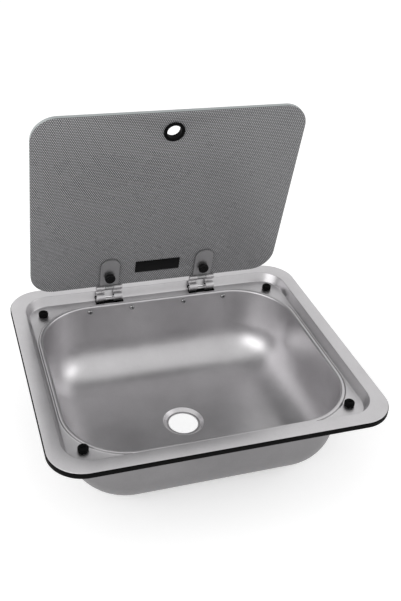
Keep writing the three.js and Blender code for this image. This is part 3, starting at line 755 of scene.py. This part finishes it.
def pressed_sheet():
    rows = upper_face()
    mesh = skin(rows + under_face(rows)[::-1], closed_rows=True)
    bmesh.ops.remove_doubles(mesh, verts=mesh.verts, dist=SHEET_DOUBLES)
    sheet = as_object("pressed_sheet", mesh)
    cutters = []
    for _, x in HINGES:
        for number, opening in enumerate(hinge_openings(x)):
            cutters.append(as_object(f"opening {x:.0f} {number}", opening))
        for screw_x in (x - SCREW_HALF, x + SCREW_HALF):
            place = Matrix.Translation((screw_x, MOUTH_REAR, SCREW_Z)) @ Matrix.Rotation(math.pi / 2, 4, "X")
            cutters.append(as_object(f"screw hole {screw_x:.0f}", drill(SHAFT_HOLE), place))
    for name, (point, _) in zip(BUFFER_NAMES, buffer_places()):
        place = Matrix.Translation((point[0], point[1], LEDGE_Z))
        cutters.append(as_object(f"hole of {name}", drill(NECK_HOLE), place))
    return cut(sheet, cutters)


sheet = finish(pressed_sheet(), "sink", "satin_steel", satin_steel, "sink_bowl")

# %% The unpolished outside of the sheet, darkened with painted shade
# A face belongs to the outside where it turns away from a point this far above the bowl.
EYE_HEIGHT = 100
EYE_POINT = Vector((0, 0, EYE_HEIGHT)) * MM
sheet.data.materials.append(unpolished_shaded_steel)
for face in sheet.data.polygons:
    turned_away = face.normal.dot(face.center - EYE_POINT) > 0
    face.material_index = int(turned_away and face.center.z < (TOP_Z - SHEET) * MM)

# %% [markdown]
# ## What follows a path or repeats
# The seal runs round under the flange, and the screws and buffers are four of a kind. Each comes
# from a Geometry Nodes tree whose sizes are named inputs: one tree sweeps a rounded strip along an
# outline, the other puts a finished shape on points, turned by each point's own angles. The result
# is made a plain mesh, so nothing depends on the tree afterwards.


# %% Two trees: a swept strip, and copies on points
def sweep_tree():
    takes = [
        ("Geometry", GEOMETRY, None),
        ("Width", FLOAT, 1.0),
        ("Height", FLOAT, 1.0),
        ("Edge", FLOAT, 0.1),
        ("Material", MATERIAL, None),
    ]
    tree, start, end = new_group("swept strip", "GeometryNodeTree", takes, [("Geometry", GEOMETRY)])
    path = put(tree, "GeometryNodeMeshToCurve", None, Mesh=start.outputs["Geometry"])
    level = put(tree, "GeometryNodeSetCurveNormal", {"mode": "Z_UP"}, Curve=path.outputs[0])
    section = put(tree, "GeometryNodeCurvePrimitiveQuadrilateral", None, Width=start.outputs["Width"],
                  Height=start.outputs["Height"])
    soft = put(tree, "GeometryNodeFilletCurve", {"mode": "POLY"}, Curve=section.outputs[0],
               Radius=start.outputs["Edge"], Count=4)
    strip = put(tree, "GeometryNodeCurveToMesh", None, Curve=level.outputs[0],
                Profile_Curve=soft.outputs[0])
    real = put(tree, "GeometryNodeRealizeInstances", None, Geometry=strip.outputs[0])
    dressed = put(tree, "GeometryNodeSetMaterial", None, Geometry=real.outputs[0],
                  Material=start.outputs["Material"])
    tree.links.new(dressed.outputs[0], end.inputs["Geometry"])
    return tree


def copies_tree():
    takes = [
        ("Geometry", GEOMETRY, None),
        ("Shape", OBJECT, None),
        ("Size", FLOAT, 1.0),
        ("Material", MATERIAL, None),
    ]
    tree, start, end = new_group("copies on points", "GeometryNodeTree", takes, [("Geometry", GEOMETRY)])
    shape = put(tree, "GeometryNodeObjectInfo", {"transform_space": "ORIGINAL"},
                Object=start.outputs["Shape"])
    angles = put(tree, "GeometryNodeInputNamedAttribute", {"data_type": "FLOAT_VECTOR"}, Name="turn")
    spread = put(tree, "GeometryNodeInstanceOnPoints", None, Points=start.outputs["Geometry"],
                 Instance=shape.outputs["Geometry"], Rotation=angles.outputs[0])
    sized = put(tree, "GeometryNodeScaleInstances", None, Instances=spread.outputs[0],
                Scale=start.outputs["Size"])
    real = put(tree, "GeometryNodeRealizeInstances", None, Geometry=sized.outputs[0])
    dressed = put(tree, "GeometryNodeSetMaterial", None, Geometry=real.outputs[0],
                  Material=start.outputs["Material"])
    tree.links.new(dressed.outputs[0], end.inputs["Geometry"])
    return tree


SWEEP, COPIES = sweep_tree(), copies_tree()


def grown(thing, tree, **inputs):
    """Runs a tree on an object with its inputs set by name, and keeps the plain result."""
    change = thing.modifiers.new(tree.name, "NODES")
    change.node_group = tree
    for item in tree.interface.items_tree:
        if item.in_out == "INPUT" and item.name.replace(" ", "_") in inputs:
            change[item.identifier] = inputs[item.name.replace(" ", "_")]
    return settle(thing)


def copies(name, shape, places, dressing):
    """Copies of a shape at (point, turn) places, in millimetres and degrees."""
    data = bpy.data.meshes.new(name)
    data.from_pydata([Vector(point) for point, _ in places], [], [])
    turns = data.attributes.new("turn", "FLOAT_VECTOR", "POINT")
    for i, (_, angles) in enumerate(places):
        turns.data[i].vector = [math.radians(angle) for angle in angles]
    thing = bpy.data.objects.new(name, data)
    bpy.context.scene.collection.objects.link(thing)
    grown(thing, COPIES, Shape=shape, Size=1.0, Material=dressing)
    bpy.data.objects.remove(shape)
    return thing


# %% The seal under the flange
SEAL_HEIGHT, SEAL_WIDTH, SEAL_EDGE, SEAL_OVERHANG = TOP_Z - SHEET, 15.8, 0.5, 0.8


def flange_seal():
    middle = SEAL_WIDTH / 2 - SEAL_OVERHANG
    x, y = HALF_X - middle, HALF_Y - middle
    loop = rounded(-x, x, -y, y, FLANGE_CORNER - middle)
    data = bpy.data.meshes.new("seal")
    points = [Vector((x, y, SEAL_HEIGHT / 2)) for x, y in loop]
    data.from_pydata(points, [(i, (i + 1) % len(points)) for i in range(len(points))], [])
    thing = bpy.data.objects.new("seal_strip", data)
    bpy.context.scene.collection.objects.link(thing)
    sizes = {"Width": SEAL_WIDTH, "Height": SEAL_HEIGHT, "Edge": SEAL_EDGE}
    return grown(thing, SWEEP, **sizes, Material=rubber)


finish(flange_seal(), "sink", "black_rubber", rubber, "flange_seal")

# %% The rubber buffers on the ledge
PLUG_TIP, PLUG_STEM, PLUG_BARB, PLUG_LENGTH = 2.0, 2.4, 3.7, 4
PLUG_BEVEL, BARB_EDGE, BUFFER_STEPS = 3.5, 0.4, 40
BUFFER_ROUND, DISH_DEPTH = 2.2, 0.7
SLOT_LONG, SLOT_WIDE, SLOT_DEEP = 3.0, 0.6, 2.0


def buffer_shape():
    """(radius, height) pairs from the plug's tip, over the buffer's side, to the dish on its top."""
    under = LEDGE_Z - SHEET - GAP
    low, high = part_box(BUFFER_NAMES[0])
    top, foot, radius = high.z / MM, LEDGE_Z + GAP, (high.x - low.x) / 2 / MM
    profile = [(0, under - PLUG_LENGTH), (PLUG_TIP, under - PLUG_LENGTH), (PLUG_STEM, under - PLUG_BEVEL)]
    profile += [(PLUG_BARB, under - BARB_EDGE), (PLUG_BARB, under), (PLUG_STEM, under), (PLUG_STEM, foot)]
    profile += [(radius - 1.0, foot), (radius - 0.3, foot + 0.5), (radius, foot + 1.4)]
    profile += arc((radius - BUFFER_ROUND, top - BUFFER_ROUND), BUFFER_ROUND, 0, 90, 7)
    profile += [(radius - 2.7, top - 0.1), (radius - 3.1, top - DISH_DEPTH), (0, top - DISH_DEPTH)]
    shape = as_object("buffer shape", turned(profile, BUFFER_STEPS))
    slot = box_between(-SLOT_LONG, SLOT_LONG, -SLOT_WIDE, SLOT_WIDE, top - SLOT_DEEP, top + 1.0)
    return cut(shape, [as_object("buffer slot", slot)])


buffers = copies("lid_buffers", buffer_shape(), buffer_places(), rubber)
finish(buffers, "sink", "black_rubber", rubber, *BUFFER_NAMES)

# %% [markdown]
# ## The screws in the bowl's rear wall
# Four small pan-head screws with a cross recess hold the hinge cups. The head is a turned profile;
# the cross is cut with two crossed wedges, which gives the four dark slots that make such a head
# readable even when it is only a few pixels wide.


# %% Screws
SCREW_LENGTH, SCREW_TIP, SCREW_SHAFT, TIP_BEVEL, SCREW_STEPS = 7, 1.4, 2.0, 6.4, 36
HEAD_RADIUS, HEAD_RIM, HEAD_TOP = 3.5, 0.35, 1.8
DOME_FLAT, DOME_RUN, DOME_RISE, DOME_STEPS = 2.4, 1.1, 1.45, 5
CROSS_ARM, CROSS_HALF, CROSS_TAPER, CROSS_FLOOR, CROSS_ABOVE = 2.3, 0.6, 0.6, 0.2, 2.4
NEXT_TURN = 23              # degrees that each next screw is turned further


def screw_shape():
    """(radius, height) pairs from the tip to the top of the head, then the cross cut into it."""
    profile = [(0, -SCREW_LENGTH), (SCREW_TIP, -SCREW_LENGTH), (SCREW_SHAFT, -TIP_BEVEL)]
    profile += [(SCREW_SHAFT, 0), (HEAD_RADIUS, 0), (HEAD_RADIUS, HEAD_RIM)]
    for i in range(1, DOME_STEPS + 1):
        angle = i * math.pi / (2 * DOME_STEPS)
        profile.append((DOME_FLAT + DOME_RUN * math.cos(angle), HEAD_RIM + DOME_RISE * math.sin(angle)))
    profile.append((0, HEAD_TOP))
    screw = as_object("screw shape", turned(profile, SCREW_STEPS))
    slots = []
    for number, (wide, long) in enumerate(((CROSS_HALF, CROSS_ARM), (CROSS_ARM, CROSS_HALF))):
        top = [(wide, long), (-wide, long), (-wide, -long), (wide, -long)]
        foot = [(x * CROSS_TAPER, y * CROSS_TAPER) for x, y in top]
        levels = ((foot, CROSS_FLOOR), (top, CROSS_ABOVE))
        rows = [[Vector((x, y, z)) for x, y in loop] for loop, z in levels]
        slots.append(as_object(f"slot {number}", skin(rows, caps=True)))
    return cut(screw, slots)


def screw_places():
    places = []
    for name in SCREW_NAMES:
        low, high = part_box(name)
        point = ((low.x + high.x) / 2 / MM, low.y / MM + HEAD_TOP, (low.z + high.z) / 2 / MM)
        places.append((point, (90, len(places) * NEXT_TURN, 0)))
    return places


SCREW_NAMES = [f"cup_screw_{side}_{place}" for side in ("left", "right") for place in ("outer", "inner")]
screws = copies("cup_screws", screw_shape(), screw_places(), screw_steel)
finish(screws, "sink", "hinge_steel", screw_steel, *SCREW_NAMES)

# %% [markdown]
# ## The glass plate
# Five millimetres of toughened glass with a pencil-ground edge. The plate is its outline with three
# holes, given its thickness; the edge is rounded afterwards on both faces so the light catches it as
# a thin bright line, which is what tells the eye that it is glass and not card.

# %% Glass lid
LID_X, LID_HINGE_EDGE, LID_DEPTH = 180.0, -20.5, 286.0
GLASS_UNDER, GLASS_TOP = 6.0, 11.0
FINGER_Y, FINGER_HOLE, STUD_HOLE, KNOB_FROM_EDGE = 29.0, 11.1, 4.2, 19.0
EDGE_SEGMENTS, EDGE_FROM, HOLE_STEPS = 4, 60, 32
GLASS_SHARP = math.radians(50)
FLAT_FACE = 0.98            # how nearly a face must look along the plate's axis to be printed
KNOB_Y = LID_HINGE_EDGE - KNOB_FROM_EDGE
RING_Y = LID_HINGE_EDGE - LID_DEPTH + FINGER_Y


def glass_plate():
    front = LID_HINGE_EDGE - LID_DEPTH
    holes = [circle(0, RING_Y, FINGER_HOLE)]
    holes += [circle(x, KNOB_Y, STUD_HOLE, HOLE_STEPS) for _, x in HINGES]
    outline = rounded(-LID_X, LID_X, front, LID_HINGE_EDGE, GLASS_CORNER)
    thing = as_object("glass_plate", plate(outline, GLASS_UNDER, GLASS_TOP, holes), LID_PLACE)
    return ease(thing, GLASS_EDGE, EDGE_SEGMENTS, EDGE_FROM)


glass = finish(glass_plate(), "lid", "printed_glass", printed_glass, "glass_lid", sharp=GLASS_SHARP)
glass.data.materials.append(glass_edge)
facing = Vector((0, math.sin(OPEN_ANGLE), math.cos(OPEN_ANGLE)))
for face in glass.data.polygons:
    face.material_index = 0 if abs(face.normal.dot(facing)) > FLAT_FACE else 1

# %% [markdown]
# ## Finger ring and label plate
# The finger hole is lined with a soft ring whose lips hold the glass from both sides. Its section
# is turned about the hole's axis. Between the hinges a thin bare plate is stuck to the glass; its
# edge is eased by hardly more than a tenth of a millimetre, just enough to catch some light.


# %% Finger ring and bare plate
RING_HOLE, RING_BEVEL, RING_WAIST, RING_STEPS = 9.5, 9.9, 10.8, 64
LIP_CENTRE, LIP_ROUND, LIP_HEIGHT, LIP_SHOULDER = 13.2, 0.8, 1.6, 1.2
PLATE_X, PLATE_DEPTH, PLATE_THICK, PLATE_CORNER, PLATE_FROM_EDGE = 32.5, 20.5, 0.5, 1.0, 20.5
THIN_EDGE = 0.15            # the eased edge of every thin plate, pad and washer


def finger_ring():
    low, high = GLASS_UNDER - GAP, GLASS_TOP + GAP
    profile = [(RING_BEVEL, low - LIP_HEIGHT), *arc((LIP_CENTRE, low - LIP_ROUND), LIP_ROUND, -90, 90, 6)]
    profile += [(RING_WAIST, low), (RING_WAIST, high)]
    profile += [*arc((LIP_CENTRE, high + LIP_ROUND), LIP_ROUND, -90, 90, 6), (RING_BEVEL, high + LIP_HEIGHT)]
    profile += [(RING_HOLE, high + LIP_SHOULDER), (RING_HOLE, low - LIP_SHOULDER)]
    place = LID_PLACE @ Matrix.Translation((0, RING_Y, 0))
    return as_object("finger_grommet", turned(profile, RING_STEPS), place)


def label_plate():
    low, high = GLASS_UNDER - GAP - PLATE_THICK, GLASS_UNDER - GAP
    rear = LID_HINGE_EDGE - PLATE_FROM_EDGE
    outline = rounded(-PLATE_X, PLATE_X, rear - PLATE_DEPTH, rear, PLATE_CORNER, 5)
    return ease(as_object("bare_plate", plate(outline, low, high), LID_PLACE), THIN_EDGE)


finish(finger_ring(), "lid", "black_rubber", rubber, "finger_ring")
finish(label_plate(), "lid", "black_plastic", plastic, "label_plate")

# %% [markdown]
# ## The moving half of a hinge
# Each hinge has two goose-neck bands. A band could be joined from a strip and two tubes, but its
# whole side view is one outline: eye, neck, upright, bend and upper eye, with a hole in each eye. So
# it is drawn once from the side and given its width, and nothing has to be joined. Bands and tongues
# are made in square axes and turned into place last: a turn rounds their numbers a little, and the
# flush faces of the tongues' parts would then be joined badly.

# %% Sizes of the hinge
BAND, NECK, REACH, BEND, PIN_EYE, ROD_EYE = 1.8, 5.4, 10.7, 4.2, 4.6, 3.2
ARM_IN, ARM_OUT, ROD_RADIUS = 6.6, 18.6, 1.6
LEAF_TOP, LEAF_THICK, LEAF_LENGTH, LEAF_HALF, LEAF_NOSE = 4.8, 1.6, 51.0, 13.5, 12.0
KNUCKLE_Z = LEAF_TOP - ROD_EYE
EDGE_Y = LID_HINGE_EDGE
BORE_PLAY, BAND_EDGE, ROD_EDGE, ROD_PAST_ARM = 0.25, 0.3, 0.35, 0.8
BAND_STEPS, ARM_BEND_STEPS, PIN_RIM_STEPS, ROD_RIM_STEPS, ROD_STEPS = 26, 12, 34, 28, 40


def across(mesh):
    """A plate drawn in (y, z) and thickened along x."""
    mesh.transform(Matrix(((0, 0, 1, 0), (1, 0, 0, 0), (0, 1, 0, 0), (0, 0, 0, 1))))
    return mesh


def cross_rod(y, z, radius, x0, x1):
    """A rod along x with its ends slightly rounded over."""
    soft = min(ROD_EDGE, radius / 4)
    profile = [(0, x0), (radius - soft, x0), (radius, x0 + soft)]
    profile += [(radius, x1 - soft), (radius - soft, x1), (0, x1)]
    mesh = turned(profile, ROD_STEPS)
    mesh.transform(Matrix.Translation((0, y, z)) @ Matrix.Rotation(math.pi / 2, 4, "Y"))
    return mesh


# %% The side view of a goose-neck band
def round_eye(centre, radius, first, last, steps):
    """An eye's rim from one point on it to another, clockwise, without the two points."""
    start = math.degrees(math.atan2(first[1] - centre[1], first[0] - centre[0]))
    end = math.degrees(math.atan2(last[1] - centre[1], last[0] - centre[0]))
    return arc(centre, radius, start, end - 360 * (end >= start), steps)[1:-1]


def enters_eye(z):
    """The point on a level line at which the strip runs into the rod's eye."""
    return EDGE_Y + math.sqrt(max(ROD_EYE**2 - (z - KNUCKLE_Z)**2, 0)), z


def leaves_eye(radius):
    """How many degrees of a neck arc of this radius still lie inside the pin's eye."""
    share = (NECK**2 + radius**2 - PIN_EYE**2) / (2 * NECK * radius)
    return math.degrees(math.acos(share))


def band_outline():
    """Both eyes and the bent strip in one outline, in (y, z)."""
    half, neck_y = BAND / 2, NECK - REACH
    neck_z = -math.sqrt(NECK**2 - neck_y**2)
    begin = math.degrees(math.atan2(-neck_z, -neck_y))
    bend_y, top_z = -REACH - BEND, LEAF_TOP - half
    bend_z = top_z - BEND
    outer = arc((neck_y, neck_z), NECK + half, begin - leaves_eye(NECK + half), -180, BAND_STEPS)
    outer += arc((bend_y, bend_z), BEND - half, 0, 90, ARM_BEND_STEPS)
    outer.append(enters_eye(top_z - half))
    inner = [enters_eye(top_z + half)]
    inner += arc((bend_y, bend_z), BEND + half, 90, 0, ARM_BEND_STEPS)
    inner += arc((neck_y, neck_z), NECK - half, -180, begin - leaves_eye(NECK - half), BAND_STEPS)
    rod_rim = round_eye((EDGE_Y, KNUCKLE_Z), ROD_EYE, outer[-1], inner[0], ROD_RIM_STEPS)
    pin_rim = round_eye((0, 0), PIN_EYE, inner[-1], outer[0], PIN_RIM_STEPS)
    return outer + rod_rim + inner + pin_rim


def hinge_arm(name, x0, x1, place):
    pin_bore = circle(0, 0, PIN_RADIUS + BORE_PLAY, ROD_STEPS)
    rod_bore = circle(EDGE_Y, KNUCKLE_Z, ROD_RADIUS + BORE_PLAY, ROD_STEPS)
    band = across(plate(band_outline(), x0, x1, [pin_bore, rod_bore]))
    solid = ease(as_object(name, band), BAND_EDGE, angle=SQUARE)
    solid.data.transform(place)
    return solid


# %% [markdown]
# The tongue is a plate with a round nose, rolled into a knuckle between the arms' upper eyes. The
# round nose is part of the plan outline, so the plate is drawn from above, and a narrower web and the
# knuckle are joined to it. Joining and cutting leave slivers, which are welded before the edges are
# eased, and once more after.


# %% Tongue and pad
NOSE_STEPS, TONGUE_EDGE, WEB_LAP = 16, 0.35, 2
STUD_HOLE_RADIUS, STUD_HOLE_STEPS = 3.3, 40
PAD_THICK, PAD_INSET = 0.6, 1.0


def tongue_outline(inset=0.0):
    tail, end = EDGE_Y - ROD_EYE - GAP - inset, EDGE_Y - LEAF_LENGTH + inset
    half, nose = LEAF_HALF - inset, LEAF_NOSE - inset
    points = [(half, tail), (-half, tail)]
    points += arc((nose - half, end + nose), nose, 180, 270, NOSE_STEPS)
    points += arc((half - nose, end + nose), nose, 270, 360, NOSE_STEPS)
    return points


def hinge_tongue(name, place):
    web = ARM_IN - 2 * GAP
    tail = EDGE_Y - ROD_EYE - GAP
    low = LEAF_TOP - LEAF_THICK
    solid = union(name, [
        plate(tongue_outline(), low, LEAF_TOP),
        box_between(-web, web, tail - WEB_LAP, EDGE_Y, low, LEAF_TOP),
        cross_rod(EDGE_Y, KNUCKLE_Z, ROD_EYE, -web, web),
    ])
    profile = [(0, low - 1), (STUD_HOLE_RADIUS, low - 1), (STUD_HOLE_RADIUS, LEAF_TOP + 1), (0, LEAF_TOP + 1)]
    stud = turned(profile, STUD_HOLE_STEPS)
    stud.transform(Matrix.Translation((0, KNOB_Y, 0)))
    bore = cross_rod(EDGE_Y, KNUCKLE_Z, ROD_RADIUS + BORE_PLAY, -web - 1, web + 1)
    cut(solid, [as_object("stud hole", stud), as_object("rod bore", bore)])
    solid = weld(ease(weld(solid), TONGUE_EDGE, angle=SQUARE))
    solid.data.transform(place)
    return solid


def tongue_pad(name, place):
    low = GLASS_UNDER - GAP - PAD_THICK
    hole = circle(0, KNOB_Y, STUD_HOLE_RADIUS, HOLE_STEPS)
    pad = plate(tongue_outline(PAD_INSET), low, low + PAD_THICK, [hole])
    return ease(as_object(name, pad, place), THIN_EDGE, angle=SQUARE)


# %% [markdown]
# ## Knobs and caps
# The knob under the glass is turned by hand, so its rim has small flutes; the cap on the outside
# only covers the stud's end. Both are turned profiles. The flutes are cut by a ring of small rods,
# which a Geometry Nodes tree sets round the rim in one go.


# %% Knob, cap and washer
KNOB_RADIUS, KNOB_HEIGHT, KNOB_ROUND, STUD_RADIUS, FLUTED_STEPS = 7.4, 6.2, 1.8, 3.0, 72
CAP_LIFT, CAP_THICK, CAP_BORE, CAP_RADIUS, CAP_ROUND = 1.2, 3.0, 3.3, 10, 1.4
KNOB_FLUTES, KNOB_FLUTE_RADIUS, KNOB_FLUTE_RING = 14, 1.25, KNOB_RADIUS + 0.9
CAP_FLUTES, CAP_FLUTE_RADIUS, CAP_FLUTE_RING = 20, 1.2, 10.8
FLUTE_STEPS, WASHER_STEPS = 16, 64


def flute_cutters(radius, count, size, z0, z1):
    """Rods of one size, stood in a ring."""
    rod = as_object("flute", turned([(0, z0), (size, z0), (size, z1), (0, z1)], FLUTE_STEPS))
    places = []
    for i in range(count):
        angle = 2 * math.pi * i / count
        places.append(((radius * math.cos(angle), radius * math.sin(angle), 0), (0, 0, 0)))
    return copies("flutes", rod, places, plastic)


def fluted(name, profile, flutes, place):
    """A turned piece with flutes round its rim."""
    thing = as_object(name, turned(profile, FLUTED_STEPS))
    cut(thing, [flute_cutters(*flutes)])
    thing.data.transform(place)
    return thing


def hinge_knob(name, place):
    """(radius, height) pairs from the dished face, over the rim, to the end of the stud."""
    top, cap_under = LEAF_TOP - LEAF_THICK - GAP, GLASS_TOP + CAP_LIFT
    bottom = top - KNOB_HEIGHT
    profile = [(0, bottom + 0.4), (3.8, bottom + 0.4), (4.4, bottom), (KNOB_RADIUS - 2.0, bottom)]
    profile += arc((KNOB_RADIUS - KNOB_ROUND, bottom + KNOB_ROUND), KNOB_ROUND, -90, 0, 7)
    profile += [(KNOB_RADIUS, top - 2.4), (KNOB_RADIUS - 0.3, top - 1.9), (6.0, top - 0.3), (5.8, top)]
    profile += [(STUD_RADIUS, top), (STUD_RADIUS, cap_under + 1.7), (0, cap_under + 1.7)]
    ring = (KNOB_FLUTE_RING, KNOB_FLUTES, KNOB_FLUTE_RADIUS, bottom - 1, top - 1.4)
    return fluted(name, profile, ring, place)


def hinge_cap(name, place):
    """(radius, height) pairs from the bore for the stud, over the rim, to the middle of the top."""
    under = GLASS_TOP + CAP_LIFT
    profile = [(0, under + 2.0), (CAP_BORE, under + 2.0), (CAP_BORE, under)]
    profile += [(9.7, under), (CAP_RADIUS, under + 0.3), (CAP_RADIUS, under + 1.6)]
    profile += arc((8.6, under + 1.6), CAP_ROUND, 0, 80, 5)
    profile += [(4.0, under + CAP_THICK), (0, under + CAP_THICK)]
    ring = (CAP_FLUTE_RING, CAP_FLUTES, CAP_FLUTE_RADIUS, under - 1, under + 4)
    return fluted(name, profile, ring, place)


def cap_washer(name, place):
    low = GLASS_TOP + GAP
    hole = circle(0, 0, STUD_HOLE_RADIUS, HOLE_STEPS)
    washer = plate(circle(0, 0, CAP_RADIUS, WASHER_STEPS), low, low + PAD_THICK, [hole])
    return ease(as_object(name, washer, place), THIN_EDGE, angle=SQUARE)


# %% Both hinges, moving half
rod_end = ARM_OUT + ROD_PAST_ARM
for side, x in HINGES:
    at = LID_PLACE @ Matrix.Translation((x, 0, 0))
    knob_at = at @ Matrix.Translation((0, KNOB_Y, 0))
    outwards = 1 if x > 0 else -1
    for which, sign in (("outer", outwards), ("inner", -outwards)):
        ends = sorted((sign * ARM_IN, sign * ARM_OUT))
        arm = hinge_arm(f"goose_neck_{side}_{which}", *ends, at)
        finish(arm, "lid", "hinge_steel", band_steel, f"hinge_arm_{side}_{which}")
    rod_mesh = cross_rod(EDGE_Y, KNUCKLE_Z, ROD_RADIUS, -rod_end, rod_end)
    rod = as_object(f"cross_rod_{side}", rod_mesh, at)
    finish(rod, "lid", "hinge_steel", band_steel, f"hinge_rod_{side}")
    finish(hinge_tongue(f"tongue_{side}", at), "lid", "hinge_steel", tongue_steel, f"hinge_leaf_{side}")
    finish(tongue_pad(f"tongue_pad_{side}", at), "lid", "black_rubber", rubber, f"leaf_gasket_{side}")
    finish(hinge_knob(f"clamp_knob_{side}", knob_at), "lid", "black_plastic", plastic, f"hinge_knob_{side}")
    finish(hinge_cap(f"cap_nut_{side}", knob_at), "lid", "black_plastic", plastic, f"hinge_cap_{side}")
    finish(cap_washer(f"washer_{side}", knob_at), "lid", "black_rubber", rubber, f"cap_washer_{side}")

# %% [markdown]
# ## The fixed half of a hinge
# A black cup hangs under the ledge, held by two ears against the bowl's rear wall. Its shape is all
# boxes and a cross tube, which the frame already holds, so a copy of that solid is merged and its
# edges are eased as a moulding's are. The pin is turned again, because its facets would show.


# %% Cups and pins
COPY_DOUBLES = 1e-6         # metres, as the frame's own meshes are
CUP_EDGE = 0.25


def clean_copy(node, name):
    """A merged copy of a solid of the frame, with flat faces whole again."""
    mesh = bmesh.new()
    mesh.from_mesh(frame["nodes"][node].data)
    bmesh.ops.remove_doubles(mesh, verts=mesh.verts, dist=COPY_DOUBLES)
    bmesh.ops.dissolve_limit(mesh, angle_limit=FLAT, verts=mesh.verts, edges=mesh.edges)
    mesh.transform(Matrix.Scale(1 / MM, 4))
    return as_object(name, mesh)


for side, _ in HINGES:
    cup = ease(clean_copy(f"hinge_cup_{side}", f"cup_{side}"), CUP_EDGE, angle=SQUARE)
    finish(cup, "sink", "black_plastic", plastic, f"hinge_cup_{side}")
    low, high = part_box(f"hinge_pin_{side}")
    pin_mesh = cross_rod(PIVOT.y, PIVOT.z, PIN_RADIUS, low.x / MM, high.x / MM)
    finish(as_object(f"pin_{side}", pin_mesh), "sink", "hinge_steel", band_steel, f"hinge_pin_{side}")

# %% [markdown]
# ## Floor, world and lamps
# A product picture on white: the floor and the world are white where the camera or a reflection
# sees them, and give only plain light otherwise. Three soft lamps shape the steel. The floor keeps
# the sink's own shadow.

# %% Floor and world
FLOOR_SIZE = 6.0            # metres
FLOOR_TONE = (0.82, 0.82, 0.82, 1)
WHITE = (1, 1, 1, 1)
FLOOR_GLOW = 0.44           # brings the floor to white where it is seen, and gives no light
WORLD_SEEN, WORLD_LIGHT = 1.0, 0.70


def white_where_seen(tree, seen, plain):
    """A strength: one value for camera, mirror and glass rays, another for the light itself."""
    path = tree.nodes.new("ShaderNodeLightPath")
    direct = maths(tree, "MAXIMUM", path.outputs["Is Camera Ray"], path.outputs["Is Glossy Ray"])
    either = maths(tree, "MAXIMUM", direct, path.outputs["Is Transmission Ray"])
    return ramp(tree, either, 0.0, 1.0, plain, seen)


floor_mesh = bmesh.new()
bmesh.ops.create_grid(floor_mesh, x_segments=8, y_segments=8, size=FLOOR_SIZE / 2 / MM)
floor = as_object("floor", floor_mesh)
floor.data.transform(Matrix.Translation((0, 0, sink_low.z)) @ Matrix.Scale(MM, 4))
floor_white, tree, shader, _ = material("floor white", 0.0, Roughness=0.9)
shader.inputs["Base Color"].default_value = FLOOR_TONE
shader.inputs["Emission Color"].default_value = WHITE
tree.links.new(white_where_seen(tree, FLOOR_GLOW, 0.0), shader.inputs["Emission Strength"])
floor.data.materials.append(floor_white)
floor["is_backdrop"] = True

world = bpy.data.worlds.new("studio")
bpy.context.scene.world = world
world.use_nodes = True
sky = world.node_tree.nodes["Background"]
sky.inputs["Color"].default_value = WHITE
strength = white_where_seen(world.node_tree, WORLD_SEEN, WORLD_LIGHT)
world.node_tree.links.new(strength, sky.inputs["Strength"])


# %% Lamps
def soft_lamp(name, azimuth, elevation, distance, size, power):
    """A box lamp that looks at the origin. Degrees, metres and watts."""
    light = bpy.data.lights.new(name, "AREA")
    light.shape = "RECTANGLE"
    light.size, light.size_y = size
    light.energy = power
    lamp = bpy.data.objects.new(name, light)
    direction, turned_to = aim(math.radians(azimuth), math.radians(elevation))
    lamp.matrix_world = Matrix.Translation(direction * distance) @ turned_to.to_4x4()
    bpy.context.scene.collection.objects.link(lamp)


soft_lamp("left box", -61, 28, 1.6, (1.5, 0.75), 7.8)
soft_lamp("right box", 73, 31, 1.8, (0.9, 0.65), 3.4)
soft_lamp("left rear box", -150, 36, 1.7, (0.8, 0.8), 1.2)
bpy.context.scene.view_settings.view_transform = "Standard"
print("lamps:", [light.name for light in bpy.data.lights])

# %% [markdown]
# ## Sizes, and the end
# The dressed sink must stay inside the solids' own box. Both boxes are printed side by side.

# %% Write both boxes and finish
dressed_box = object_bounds()
boxes = {"cad": [list(corner) for corner in cad_box], "visual": [list(corner) for corner in dressed_box]}
print("the solids' box:", boxes["cad"])
print("the dressed box:", boxes["visual"])
